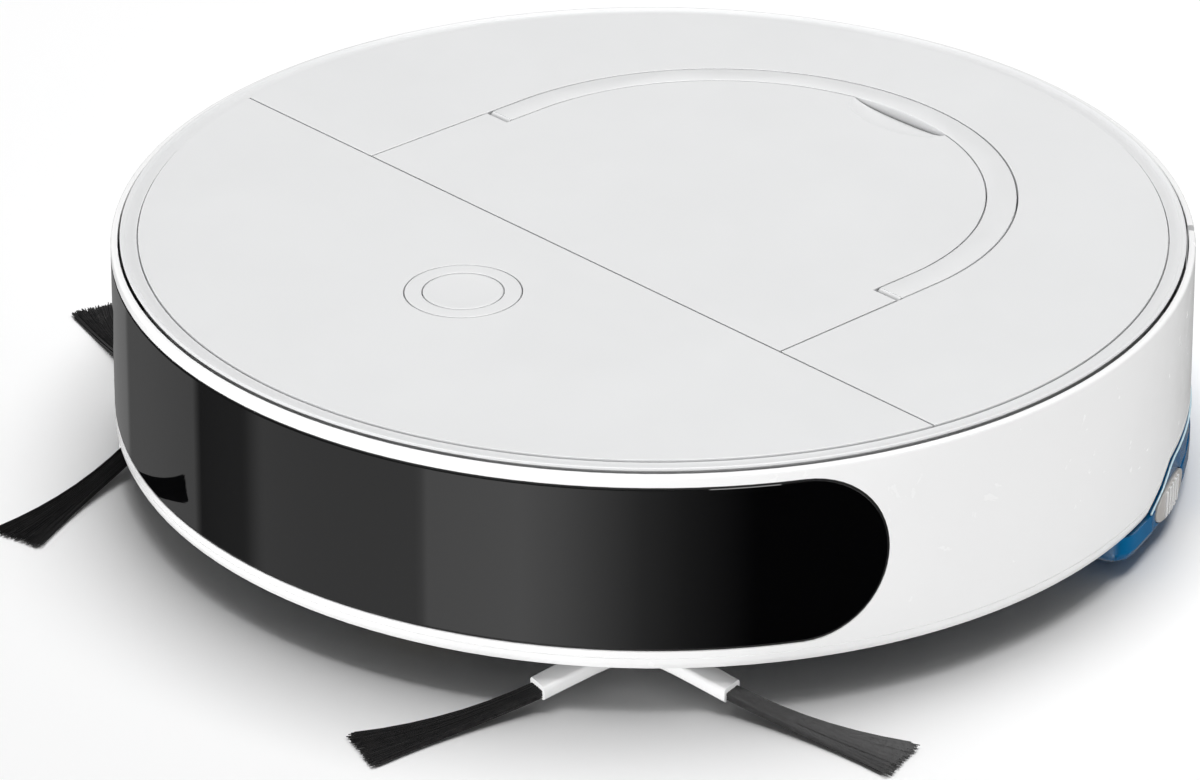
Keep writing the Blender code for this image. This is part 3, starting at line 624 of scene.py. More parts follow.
TUFT = Pattern(
    "bristle_tuft",
    {
        "Root": (0.0, 0.0, 0.0),
        "Direction": (1.0, 0.0, 0.0),
        "Across": (0.0, 1.0, 0.0),
        "Length": 60.0,
        "Root width": 5.6,
        "Tip width": 19.0,
        "Root height": 6.2,
        "Depth": 2.4,
        "Bend": 0.0,
        "Ragged": 0.06,
        "Thickness": 0.17,
        "Bristles": 300,
        "Seed": 1,
    },
    tuft_shape,
)


def lug_shape(g, size):
    """Two rows of slanted blocks round a tyre that turns about X."""
    block = g.add("GeometryNodeMeshCube", None, {"Size": size["Block"]})
    rows = []
    for side in (-1.0, 1.0):
        dots = g.add("GeometryNodePoints", None, {"Count": size["Blocks"]})
        angle = (g.add("GeometryNodeInputIndex") + side * 0.25) * (2 * math.pi) / size["Blocks"]
        y = g.maths("COSINE", angle) * size["Radius"]
        z = g.maths("SINE", angle) * size["Radius"]
        place = g.vector("ADD", size["Centre"], xyz(g, size["Offset"] * side, y, z))
        dots = g.add("GeometryNodeSetPosition", None, {"Geometry": dots, "Position": place})
        rotated = instanced(g, dots, block, xyz(g, angle, 0.0, 0.0))
        slanted = g.add(
            "GeometryNodeRotateInstances",
            None,
            {"Instances": rotated, "Rotation": xyz(g, 0.0, size["Slant"] * side, 0.0), "Local Space": True},
        )
        rows.append(slanted)
    joined = g.add("GeometryNodeJoinGeometry", None, {"Geometry": rows[0]})
    g.tree.links.new(rows[1].socket, joined.node.inputs["Geometry"])
    return joined


LUGS = Pattern(
    "tyre_lugs",
    {
        "Centre": (0.0, 0.0, 0.0),
        "Radius": 31.78,
        "Offset": 4.4,
        "Slant": 0.5,
        "Block": (7.6, 0.9, 2.4),
        "Blocks": 40,
    },
    lug_shape,
)


def sweep_bristle_shape(g, size):
    """Rows of stiff bristles along a roller that turns about X, each row wound a little round it."""
    spike = g.add(
        "GeometryNodeMeshCone",
        None,
        {"Vertices": 3, "Radius Top": 0.1, "Radius Bottom": 0.2, "Depth": size["Reach"]},
    )["Mesh"]
    dots = g.add("GeometryNodePoints", None, {"Count": size["Bristles"]})
    index = g.add("GeometryNodeInputIndex")
    per_row = size["Bristles"] / size["Rows"]
    row = g.maths("FLOOR", index / per_row)
    along = (index % per_row) / per_row
    sway = chance(g, index, 5, -0.05, 0.05)
    angle = (row / size["Rows"]) * (2 * math.pi) + along * size["Wind"] + sway + size["Start"]
    y = g.maths("COSINE", angle) * size["Core"]
    z = g.maths("SINE", angle) * size["Core"]
    place = g.vector("ADD", size["Centre"], xyz(g, (along - 0.5) * size["Width"], y, z))
    dots = g.add("GeometryNodeSetPosition", None, {"Geometry": dots, "Position": place})
    return instanced(g, dots, spike, xyz(g, angle - math.pi / 2, 0.0, 0.0))


SWEEP = Pattern(
    "roller_bristles",
    {
        "Centre": (0.0, 0.0, 0.0),
        "Core": 11.8,
        "Reach": 9.1,
        "Width": 150.0,
        "Rows": 6,
        "Wind": 0.0,
        "Start": 0.0,
        "Bristles": 1800,
    },
    sweep_bristle_shape,
)


def rib_shape(g, size):
    """Upright ribs on an oval finger grip, shorter towards its ends."""
    dots = g.add("GeometryNodePoints", None, {"Count": size["Ribs"]})
    index = g.add("GeometryNodeInputIndex")
    offset = index - (size["Ribs"] - 1.0) * 0.5
    angle = (size["Azimuth"] + offset * size["Pitch"]) * (math.pi / 180.0)
    x = g.maths("SINE", angle) * size["Radius"]
    y = g.maths("COSINE", angle) * size["Radius"] * -1.0
    dots = g.add(
        "GeometryNodeSetPosition", None, {"Geometry": dots, "Position": xyz(g, x, y, size["Height"])}
    )
    shorter = g.maths("SQRT", 1.0 - (offset / size["Half count"]) ** 2.0)
    bar = g.add("GeometryNodeMeshCube", None, {"Size": size["Bar"]})
    return instanced(g, dots, bar, xyz(g, 0.0, 0.0, angle), xyz(g, 1.0, 1.0, shorter))


RIBS = Pattern(
    "grip_ribs",
    {
        "Azimuth": 115.7,
        "Radius": 167.2,
        "Height": 11.6,
        "Pitch": 1.0,
        "Half count": 5.0,
        "Bar": (1.3, 1.0, 9.0),
        "Ribs": 5,
    },
    rib_shape,
)


def screw_shape(g, size):
    """A pan-head screw with a cross recess, facing down."""
    head = g.add(
        "GeometryNodeMeshCylinder",
        None,
        {"Vertices": 20, "Radius": size["Head"], "Depth": size["Rise"]},
    )["Mesh"]
    slot_a = g.add("GeometryNodeMeshCube", None, {"Size": size["Slot"]})
    slot_b = g.add(
        "GeometryNodeTransform", None, {"Geometry": slot_a, "Rotation": (0.0, 0.0, math.pi / 2)}
    )
    cross = g.add("GeometryNodeJoinGeometry", None, {"Geometry": slot_a})
    g.tree.links.new(slot_b.socket, cross.node.inputs["Geometry"])
    sunk = xyz(g, 0.0, 0.0, size["Rise"] * -0.5)
    cross = g.add("GeometryNodeTransform", None, {"Geometry": cross, "Translation": sunk})
    cutting = g.add("GeometryNodeMeshBoolean", {"operation": "DIFFERENCE"}, {"Mesh 1": head})
    g.tree.links.new(cross.socket, cutting.node.inputs["Mesh 2"])
    return g.add(
        "GeometryNodeTransform",
        None,
        {"Geometry": cutting, "Translation": size["Place"], "Rotation": xyz(g, 0.0, 0.0, size["Turn"])},
    )


SCREW = Pattern(
    "pan_screw",
    {"Place": (0.0, 0.0, 0.0), "Head": 2.7, "Rise": 1.2, "Slot": (3.4, 0.7, 1.2), "Turn": 0.3},
    screw_shape,
)


def stitch_shape(g, size):
    """Short stitches on a closed rounded path: half an arc with its chord, set in from the cloth's edge."""
    path = g.add(
        "GeometryNodeCurveArc",
        {"mode": "RADIUS"},
        {
            "Resolution": 120,
            "Radius": size["Radius"],
            "Start Angle": size["From"],
            "Sweep Angle": size["Sweep"],
            "Connect Center": False,
        },
    )["Curve"]
    closed = g.add("GeometryNodeSetSplineCyclic", None, {"Geometry": path, "Cyclic": True})
    spacing = {"Curve": closed, "Length": size["Pitch"]}
    dots = g.add("GeometryNodeCurveToPoints", {"mode": "LENGTH"}, spacing)
    strand = {"Vertices": 6, "Radius": 0.32, "Depth": size["Stitch"]}
    thread = g.add("GeometryNodeMeshCylinder", None, strand)
    sewn = instanced(g, dots["Points"], thread["Mesh"], dots["Rotation"])
    return g.add("GeometryNodeTransform", None, {"Geometry": sewn, "Translation": size["Place"]})


STITCHES = Pattern(
    "hem_stitches",
    {
        "Place": (0.0, 0.0, 0.0),
        "Radius": 144.0,
        "From": 0.3,
        "Sweep": 2.5,
        "Pitch": 3.2,
        "Stitch": 2.2,
    },
    stitch_shape,
)


# ------------------------------------------------------------------ camera, floor and light
CAMERA_PLACE = Vector((0.9229, -0.8557, 0.6794))
CAMERA_AIM = Vector((-0.6532, 0.5979, -0.4646))
CAMERA_ROLL = math.radians(-0.134)
CAMERA_LENS = 137.6

KEY_POWER = 63.0
FILL_POWER_LEFT, FILL_POWER_RIGHT = 48.0, 24.0
AMBIENT = 0.13

camera_data = bpy.data.cameras.new("camera")
camera_data.lens = CAMERA_LENS
camera_data.sensor_width = 36.0
camera_data.clip_end = 20.0
camera = bpy.data.objects.new("camera", camera_data)
bpy.context.scene.collection.objects.link(camera)
turn = CAMERA_AIM.to_track_quat("-Z", "Y").to_matrix().to_4x4()
camera.matrix_world = Matrix.Translation(CAMERA_PLACE) @ turn @ Matrix.Rotation(CAMERA_ROLL, 4, "Z")
bpy.context.scene.camera = camera
bpy.context.scene.view_settings.view_transform = "Standard"

floor_mesh = bmesh.new()
bmesh.ops.create_grid(floor_mesh, x_segments=4, y_segments=4, size=8.0)
floor_data = bpy.data.meshes.new("floor")
floor_mesh.to_mesh(floor_data)
floor_mesh.free()
floor_data.materials.append(surface("floor_white", floor_white))
floor = bpy.data.objects.new("floor", floor_data)
bpy.context.scene.collection.objects.link(floor)
floor.visible_glossy = False  # the gloss of the low wall sees the dark surround and cards, as in a studio


def lamp(name, azimuth, elevation, distance, size, power, seen=True):
    """A soft rectangular lamp that faces the machine. Its azimuth is degrees from the front, towards +X."""
    across, along = at_azimuth(distance * math.cos(math.radians(elevation)), azimuth)
    data = bpy.data.lights.new(name, "AREA")
    data.shape = "RECTANGLE"
    data.size, data.size_y = size
    data.energy = power
    made = bpy.data.objects.new(name, data)
    bpy.context.scene.collection.objects.link(made)
    place = Vector((across, along, distance * math.sin(math.radians(elevation))))
    made.matrix_world = Matrix.Translation(place) @ (-place).to_track_quat("-Z", "Y").to_matrix().to_4x4()
    made.visible_glossy = seen
    return made


key = lamp("overhead_soft", 200.0, 80.0, 2.4, (1.8, 1.8), KEY_POWER)
fills = [
    lamp("wall_soft_left", 0.0, 9.0, 2.4, (1.9, 0.7), FILL_POWER_LEFT, seen=False),
    lamp("wall_soft_right", 112.0, 9.0, 2.4, (1.9, 0.7), FILL_POWER_RIGHT, seen=False),
]
machine = bpy.data.collections.new("machine")
for fill in fills:  # they brighten the machine's side and leave the floor alone
    fill.light_linking.receiver_collection = machine

world = bpy.data.worlds.new("studio")
bpy.context.scene.world = world
world.use_nodes = True
world.node_tree.nodes.clear()
SKY = Graph(world.node_tree)
heading = SKY.add("ShaderNodeSeparateXYZ", None, {"Vector": SKY.add("ShaderNodeTexCoord")["Generated"]})
bearing = SKY.maths("ARCTAN2", heading["X"], heading["Y"] * -1.0) * (180.0 / math.pi)

# Reflection cards below the horizon, seen only in gloss: (azimuth, brightness) stops.
CARD_BRIGHTEST = 1.6
CARDS = [
    (-180.0, 0.12),
    (-122.0, 0.22),
    (-101.5, 0.36),
    (-99.0, 0.20),
    (-64.3, 0.50),
    (-62.5, 0.10),
    (-47.0, 0.19),
    (-41.5, 0.60),
    (-1.8, 0.78),
    (-0.3, 1.36),
    (20.0, 1.58),
    (28.2, 1.27),
    (36.6, 0.83),
    (45.0, 0.42),
    (53.6, 0.20),
    (62.0, 0.08),
    (68.0, 0.0),
    (104.0, 0.0),
    (150.0, 0.12),
]
share = SKY.step(bearing, -180.0, 180.0)
cards = SKY.add(
    "ShaderNodeValToRGB",
    {"stops": [((a + 180.0) / 360.0, level / CARD_BRIGHTEST) for a, level in CARDS]},
    {"Fac": share},
)
below = heading["Z"] < -0.02
strength = SKY.step(below, 0.0, 1.0, AMBIENT, CARD_BRIGHTEST)
tint = SKY.mix(below, (1.0, 1.0, 1.0), cards)
background = SKY.add("ShaderNodeBackground", None, {"Color": tint, "Strength": strength})
SKY.add("ShaderNodeOutputWorld", None, {"Surface": background})


# ------------------------------------------------------------------ side wall
def wall_radius(z):
    return WALL_FOOT - (z - 15.9) / (73.9 - 15.9) * (WALL_FOOT - WALL_RIM)


def wall_inside(z):
    return 162.9 + (74.75 - z) / 54.75


FOOT_LINE = [(0.0, 14.0), (108.8, 14.0), (109.0, 14.2), (112.3, 17.9), (114.9, 22.0), (116.2, REAR_FOOT)]


def foot_height(azimuth):
    reach = abs(azimuth)
    for (a, low), (b, high) in zip(FOOT_LINE, FOOT_LINE[1:]):
        if reach <= b:
            return low + (high - low) * (reach - a) / (b - a)
    return REAR_FOOT


def window_half_columns(margin, straight_steps=24, end_steps=14):
    """(arc length, half height) from the middle of the stadium-shaped window to its round end."""
    end_radius = (WINDOW_Z[1] - WINDOW_Z[0]) / 2 + margin
    middle = (WINDOW_Z[0] + WINDOW_Z[1]) / 2
    per_degree = math.radians(1.0) * wall_radius(middle)
    straight = WINDOW_REACH * per_degree + margin - end_radius
    half = [(straight * i / straight_steps, end_radius) for i in range(straight_steps)]
    for i in range(end_steps + 1):
        angle = math.pi / 2 * i / end_steps
        half.append((straight + end_radius * math.sin(angle), end_radius * math.cos(angle)))
    return [(s / per_degree, middle - h, middle + h) for s, h in half]


def mirrored(columns):
    return [(-a, low, high) for a, low, high in reversed(columns[1:])] + columns


RIM_ROUND = [
    (WALL_RIM + 0.01, 73.5),
    (165.0, 73.95),
    (164.86, 74.32),
    (164.58, 74.6),
    (164.2, 74.74),
    (163.8, 74.76),
    (163.2, 74.74),
    (162.98, 74.62),
    (162.91, 74.4),
]
GROOVE_UP = 3.7  # height of the parting line over the wall's foot


def wall_ring(azimuth, low, high, mouth_low, mouth_high):
    """One cross-section of the bumper wall: outer edge of the window, its reveal, and the inside."""
    foot = foot_height(azimuth)
    line = foot + GROOVE_UP
    ring = [
        (163.5, foot),
        (165.35, foot),
        (165.75, foot + 0.14),
        (wall_radius(foot + 1.7) - 0.14, foot + 1.62),
        (wall_radius(foot + 2.1), foot + 2.1),
        (wall_radius(line), line - 0.2),
        (wall_radius(line) - 0.2, line - 0.06),
        (wall_radius(line) - 0.2, line + 0.06),
        (wall_radius(line), line + 0.2),
        (wall_radius(low), low),
        (wall_radius(high), high),
        *RIM_ROUND,
        (wall_inside(70.0), 73.0),
        (wall_inside(mouth_high), mouth_high),
        (wall_inside(mouth_low), mouth_low),
        (wall_inside(foot + 4.5), foot + 4.5),
    ]
    return [(*at_azimuth(radius, azimuth), z) for radius, z in ring]


OUTER_LOW, OUTER_HIGH = 9, 10
INNER_HIGH = OUTER_HIGH + len(RIM_ROUND) + 2
INNER_LOW = INNER_HIGH + 1


def bumper_mesh():
    mesh = bmesh.new()
    columns = mirrored(window_half_columns(0.55))
    mouths = mirrored(window_half_columns(0.35))
    last = columns[-1][0]
    steps = 48
    middle = (WINDOW_Z[0] + WINDOW_Z[1]) / 2
    beyond = [last + (BUMPER_END - last) * i / steps for i in range(1, steps + 1)]
    beyond = sorted(set(beyond) | {109.0, 112.3, 114.9, 116.2})
    blank = [(a, middle, middle) for a in beyond]
    every = [(-a, lo, hi) for a, lo, hi in reversed(blank)] + columns + blank
    reveals = [(-a, lo, hi) for a, lo, hi in reversed(blank)] + mouths + blank
    first_open, last_open = len(blank), len(blank) + len(columns) - 1
    rows, pits = [], []
    for (a, lo, hi), (b, mouth_lo, mouth_hi) in zip(every, reveals):
        rows.append([mesh.verts.new(p) for p in wall_ring(a, lo, hi, mouth_lo, mouth_hi)])
        pits.append([
            mesh.verts.new((*at_azimuth(wall_radius(z) - 0.2, b), z)) for z in (mouth_lo, mouth_hi)
        ])
    count = len(rows[0])
    for n, (low, high) in enumerate(zip(rows, rows[1:])):
        is_open = first_open <= n < last_open
        for i in range(count):
            j = (i + 1) % count
            if is_open and i in (OUTER_LOW, INNER_HIGH):
                continue
            mesh.faces.new((low[i], low[j], high[j], high[i]))
        if is_open:
            edge, next_edge = pits[n], pits[n + 1]
            for outer, inner, k in ((OUTER_LOW, INNER_LOW, 0), (OUTER_HIGH, INNER_HIGH, 1)):
                mesh.faces.new((low[outer], edge[k], next_edge[k], high[outer]))
                mesh.faces.new((edge[k], low[inner], high[inner], next_edge[k]))
    for n, pit in enumerate(pits):
        if not first_open <= n <= last_open:
            for vert in pit:
                mesh.verts.remove(vert)
    mesh.faces.new(rows[0])
    mesh.faces.new(rows[-1])
    outward(mesh)
    return mesh


stands_for(piece("bumper_wall", bumper_mesh(), "white_shell", 24.0), "bumper_shell")


def window_mesh():
    """The dark window: a curved plate with a thin polished edge."""
    mesh = bmesh.new()
    rows = []
    for (a, low, high), (b, low_in, high_in) in zip(
        mirrored(window_half_columns(-0.27)), mirrored(window_half_columns(-0.5))
    ):
        ring = [
            (*at_azimuth(wall_radius(low) - 1.9, a), low),
            (*at_azimuth(wall_radius(low) - 0.3, a), low),
            (*at_azimuth(wall_radius(low_in), b), low_in),
            (*at_azimuth(wall_radius(high_in), b), high_in),
            (*at_azimuth(wall_radius(high) - 0.3, a), high),
            (*at_azimuth(wall_radius(high) - 1.9, a), high),
        ]
        rows.append(ring)
    skin(mesh, rows)
    outward(mesh)
    return mesh


stands_for(piece("window_glass", window_mesh(), "gloss_black", 24.0), "bumper_window")


def window_outline(margin):
    columns = mirrored(window_half_columns(margin))
    lower = [(a, low) for a, low, _ in columns]
    return lower + [(a, high) for a, _, high in reversed(columns[1:-1])]


# A black ring in the gap round the window, set in behind the wall's face: painted shade standing in for the
# dark shadow line along the window's edge.
gap_shade_ring = bmesh.new()
gap_shade_rings = []
for (a, low), (b, high) in zip(window_outline(-0.27), window_outline(0.3)):
    gap_shade_rings.append(
        [
            (*at_azimuth(wall_radius(low) - 0.4, a), low),
            (*at_azimuth(wall_radius(high) - 0.4, b), high),
            (*at_azimuth(wall_radius(high) - 1.7, b), high),
            (*at_azimuth(wall_radius(low) - 1.7, a), low),
        ]
    )
skin(gap_shade_ring, gap_shade_rings, loop=True)
outward(gap_shade_ring)
gap_shade_ring = piece("window_gasket", gap_shade_ring, "black_rubber", 40.0)
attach(gap_shade_ring, "bumper")


def rear_wall_mesh():
    mesh = bmesh.new()
    rings = []
    steps = 60
    for i in range(steps + 1):
        azimuth = REAR_START + (360.0 - 2 * REAR_START) * i / steps
        profile = [
            (164.3, REAR_FOOT),
            (165.3, REAR_FOOT),
            (165.9, REAR_FOOT + 0.3),
            (wall_radius(25.0), REAR_FOOT + 1.1),
            *RIM_ROUND,
            (163.1, 73.0),
            (163.3, 50.0),
            (163.6, 29.2),
            (155.0, 29.2),
            (155.0, 26.4),
            (163.6, 26.4),
        ]
        rings.append([(*at_azimuth(r, azimuth), z) for r, z in profile])
    skin(mesh, rings)
    outward(mesh)
    return mesh


stands_for(piece("rear_wall", rear_wall_mesh(), "white_shell", 24.0), "rear_shell")

# ------------------------------------------------------------------ top
RING_PROFILE = [
    (162.2, 75.15),
    (162.2, 75.5),
    (162.12, 75.72),
    (161.92, 75.86),
    (161.62, 75.9),
    (161.32, 75.86),
    (161.05, 75.7),
    (160.75, 75.4),
    (160.45, 75.16),
    (160.0, 75.02),
    (159.2, 74.92),
    (158.2, 74.9),
    (157.5, 74.98),
    (157.1, 75.0),
    (157.1, 73.1),
    (148.5, 73.1),
    (148.5, 71.2),
    (160.3, 71.2),
    (160.3, 75.15),
]
ring_mesh = turned(bmesh.new(), RING_PROFILE, 240)
outward(ring_mesh)
stands_for(piece("cover_ring", ring_mesh, "top_panel", 40.0), "top_ring")


def moved_in(outline, distance):
    """The closed outline moved to its left by a distance, with mitred corners."""
    count = len(outline)
    result = []
    for i in range(count):
        before = Vector(outline[i]) - Vector(outline[i - 1])
        after = Vector(outline[(i + 1) % count]) - Vector(outline[i])
        left_a = Vector((-before.y, before.x)).normalized()
        left_b = Vector((-after.y, after.x)).normalized()
        middle = left_a + left_b
        reach = distance * 2 / max(middle.length_squared, 0.4)
        result.append((outline[i][0] + middle.x * reach, outline[i][1] + middle.y * reach))
    return result


def plate(mesh, outlines, low, high, ease=0.35):
    """A flat plate between heights with an eased upper edge. The first outline runs anticlockwise round
    the plate; any others are holes and run clockwise."""
    rows = [
        (low, 0.0),
        (high - ease, 0.0),
        (high - 0.45 * ease, 0.13 * ease),
        (high - 0.13 * ease, 0.45 * ease),
        (high, ease),
    ]
    top_edges, low_edges = [], []
    for outline in outlines:
        loops = []
        for z, inset in rows:
            loops.append([mesh.verts.new((x, y, z)) for x, y in moved_in(outline, inset)])
        count = len(outline)
        for a, b in zip(loops, loops[1:]):
            for i in range(count):
                j = (i + 1) % count
                mesh.faces.new((a[i], a[j], b[j], b[i]))
        mesh.edges.ensure_lookup_table()
        for loop, kept in ((loops[-1], top_edges), (loops[0], low_edges)):
            for i in range(count):
                kept.append(mesh.edges.get((loop[i], loop[(i + 1) % count])))
    bmesh.ops.triangle_fill(mesh, use_beauty=True, edges=top_edges, normal=(0, 0, 1))
    bmesh.ops.triangle_fill(mesh, use_beauty=True, edges=low_edges, normal=(0, 0, -1))
    return mesh


def arc(radius, start, stop, steps, centre=(0.0, 0.0)):
    """Points on an arc; angles are from +X, anticlockwise."""
    points = []
    for i in range(steps + 1):
        angle = math.radians(start + (stop - start) * i / steps)
        points.append((centre[0] + radius * math.cos(angle), centre[1] + radius * math.sin(angle)))
    return points


def seam_angle(y):
    return math.degrees(math.asin(y / PANEL_RADIUS))


SEAM_FRONT, SEAM_BACK = SEAM_Y - 0.25, SEAM_Y + 0.25
front_start = seam_angle(SEAM_FRONT)
front_outline = arc(PANEL_RADIUS, -180.0 - front_start, front_start, 130)
button_hole = list(reversed(arc(17.7, 0.0, 360.0, 96, (0.0, BUTTON_Y))[:-1]))
front_plate = plate(bmesh.new(), [front_outline, button_hole], PANEL_LOW, TOP)
outward(front_plate)
stands_for(piece("front_cover", front_plate, "top_panel", 50.0, True), "front_top_panel")

back_start = seam_angle(SEAM_BACK)
back_outline = arc(PANEL_RADIUS, back_start, 180.0 - back_start, 170)
back_outline += [(-91.7, SEAM_BACK)]
back_outline += list(reversed(arc(91.7, 0.0, 180.0, 90, (0.0, D_CENTRE_Y))))
back_outline += [(91.7, SEAM_BACK)]
rear_plate = plate(bmesh.new(), [back_outline], PANEL_LOW, TOP)
outward(rear_plate)
stands_for(piece("rear_cover", rear_plate, "top_panel", 50.0, True), "rear_top_panel")

ring_outer = arc(17.4, 0.0, 360.0, 96, (0.0, BUTTON_Y))[:-1]
ring_inner = list(reversed(arc(12.3, 0.0, 360.0, 72, (0.0, BUTTON_Y))[:-1]))
ring_plate = plate(bmesh.new(), [ring_outer, ring_inner], PANEL_LOW, TOP, 0.4)
outward(ring_plate)
stands_for(piece("button_bezel", ring_plate, "top_panel", 50.0, True), "button_ring")

button_profile = [
    (0, 61.8),
    (3.0, 61.8),
    (3.0, 73.6),
    (12.0, 73.6),
    (12.0, 75.2),
    (11.95, 75.4),
    (11.8, 75.52),
    (11.5, 75.56),
    (10.4, 75.5),
    (8.0, 75.42),
    (4.0, 75.38),
    (0, 75.37),
]
button_mesh = turned(bmesh.new(), button_profile, 96, (0.0, BUTTON_Y))
outward(button_mesh)
stands_for(piece("button_cap", button_mesh, "top_panel", 40.0), "power_button")


def cut_away(made, cutter, operation="DIFFERENCE"):
    """Applies a Boolean with a millimetre bmesh."""
    tool = piece("cutter", cutter, "top_panel")
    step = made.modifiers.new("cut", "BOOLEAN")
    step.operation = operation
    step.solver = "EXACT"
    step.object = tool
    applied(made)
    bpy.data.objects.remove(tool)
    return made


CHANNEL_FRONT = 12.8
lid_outline = [
    (-LID_HALF, SEAM_BACK),
    (LID_HALF, SEAM_BACK),
    (LID_HALF, CHANNEL_FRONT),
    (LID_INNER, CHANNEL_FRONT),
    *arc(LID_INNER, 0.0, 180.0, 110, (0.0, D_CENTRE_Y)),
    (-LID_INNER, CHANNEL_FRONT),
    (-LID_HALF, CHANNEL_FRONT),
]
lid_mesh = plate(bmesh.new(), [lid_outline], 70.6, TOP, 0.3)
outward(lid_mesh)
lid = piece("lid_cover", lid_mesh, "top_panel", 50.0)
flange = [(-LID_HALF, SEAM_BACK), (LID_HALF, SEAM_BACK), *arc(LID_HALF, 0.0, 180.0, 90, (0.0, D_CENTRE_Y))]
flange_mesh = plate(bmesh.new(), [flange], 68.9, 71.2, 0.2)
outward(flange_mesh)
cut_away(lid, flange_mesh, "UNION")
scoop = bmesh.new()
bmesh.ops.create_uvsphere(scoop, u_segments=96, v_segments=48, radius=1.0)
for vert in scoop.verts:
    vert.co = Vector((vert.co.x * 20.5, 108.0 + vert.co.y * 11.0, 76.6 + vert.co.z * 4.6))
cut_away(lid, scoop)
lid.data.shade_smooth()
lid.data.set_sharp_from_angle(angle=math.radians(28.0))
steady = lid.modifiers.new("steady", "WEIGHTED_NORMAL")
steady.keep_sharp = True
stands_for(lid, "bin_lid")

HINGE_Y, HINGE_Z = 15.4, 73.6


def handle_outline(inset):
    outer = [(LID_HALF - inset, HINGE_Y)] + arc(LID_HALF - inset, 0.0, 180.0, 100, (0.0, D_CENTRE_Y))
    outer += [(-LID_HALF + inset, HINGE_Y)]
    inner = [(-82.1 - inset, HINGE_Y)]
    inner += list(reversed(arc(82.1 + inset, 0.0, 180.0, 100, (0.0, D_CENTRE_Y))))
    inner += [(82.1 + inset, HINGE_Y)]
    return outer + inner


handle_mesh = bmesh.new()
handle_rows = ((71.6, 0.3), (71.9, 0.0), (75.25, 0.0), (75.42, 0.05), (75.55, 0.17), (TOP, 0.38))
skin(handle_mesh, [[(x, y, z) for x, y in handle_outline(i)] for z, i in handle_rows])
outward(handle_mesh)
handle = piece("bail_handle", handle_mesh, "top_panel", 50.0)
for side in (1, -1):
    knuckle = bmesh.new()
    ends = sorted((side * 82.35, side * 90.95))
    knuckle_profile = [(0, ends[0]), (1.86, ends[0]), (1.86, ends[1]), (0, ends[1])]
    turned(knuckle, knuckle_profile, 40, (HINGE_Y + 0.25, HINGE_Z), "x")
    outward(knuckle)
    cut_away(handle, knuckle, "UNION")
handle.data.shade_smooth()
handle.data.set_sharp_from_angle(angle=math.radians(40.0))
stands_for(handle, "carry_handle")

# ------------------------------------------------------------------ CAD pieces that keep their shape
for node, bevel in (
    ("base_chassis", 0.25),
    ("battery_cover", 0.3),
    ("battery_pack", 0.0),
    ("bin_bay", 0.2),
    ("fan_housing", 0.3),
    ("fan_motor", 0.3),
    ("impeller", 0.15),
    ("main_board", 0.1),
    ("roller_gearbox", 0.5),
    ("side_brush_motor_left", 0.3),
    ("side_brush_motor_right", 0.3),
    ("caster_socket", 0.3),
    ("caster_fork", 0.3),
    ("caster_axle", 0.15),
    ("caster_wheel", 0.3),
    ("charging_contact_left", 0.2),
    ("charging_contact_right", 0.2),
    ("cliff_sensor_left", 0.2),
    ("cliff_sensor_right", 0.2),
    ("dust_bin", 0.2),
    ("filter_frame", 0.3),
    ("pleated_filter", 0.0),
    ("handle_pin_left", 0.0),
    ("handle_pin_right", 0.0),
    ("inlet_flap", 0.2),
    ("sensor_bar", 0.2),
    ("wheel_arm_left", 0.5),
    ("wheel_arm_right", 0.5),
    ("wheel_hub_left", 0.3),
    ("wheel_hub_right", 0.3),
    ("main_roller", 0.15),
    ("roller_guard", 0.3),
    ("mop_plate", 0.2),
    ("tank_plug", 0.2),
    ("suspension_spring_left", 0.0),
    ("suspension_spring_right", 0.0),
    ("water_tank", 0.3),
    ("release_button_left", 0.3),
    ("release_button_right", 0.3),
):
    merged_copy(node, bevel)

# ------------------------------------------------------------------ brushes, wheels and mop
HUB_PROFILE = [
    (0.4, 8.4),
    (7.0, 8.4),
    (8.6, 9.0),
    (9.5, 10.0),
    (9.5, 12.8),
    (8.9, 13.5),
    (3.0, 13.6),
    (3.0, 10.0),
    (0.4, 10.0),
]
# Rows along an arm: reach, width, low and high.
ARM_ROWS = ((4.5, 8.6, 8.9, 12.8), (16.0, 8.4, 7.4, 12.0), (27.0, 8.0, 5.3, 9.7), (32.6, 7.8, 4.2, 8.6))
ARM_LEAN = {"right": (3.6, -2.6, 0.0), "left": (5.0, -2.0, 0.0)}  # degrees from the bristles' tips
TIP_SWEEP = {"right": (0.0, 0.0, 0.0), "left": (0.0, -8.0, 0.0)}  # millimetres


def rounded_box(width, height, corner, steps=3):
    points = []
    for quarter in range(4):
        x = (width / 2 - corner) * (1 if quarter in (0, 3) else -1)
        y = (height / 2 - corner) * (1 if quarter in (0, 1) else -1)
        for i in range(steps + 1):
            angle = math.pi / 2 * (quarter + i / steps)
            points.append((x + corner * math.cos(angle), y + corner * math.sin(angle)))
    return points


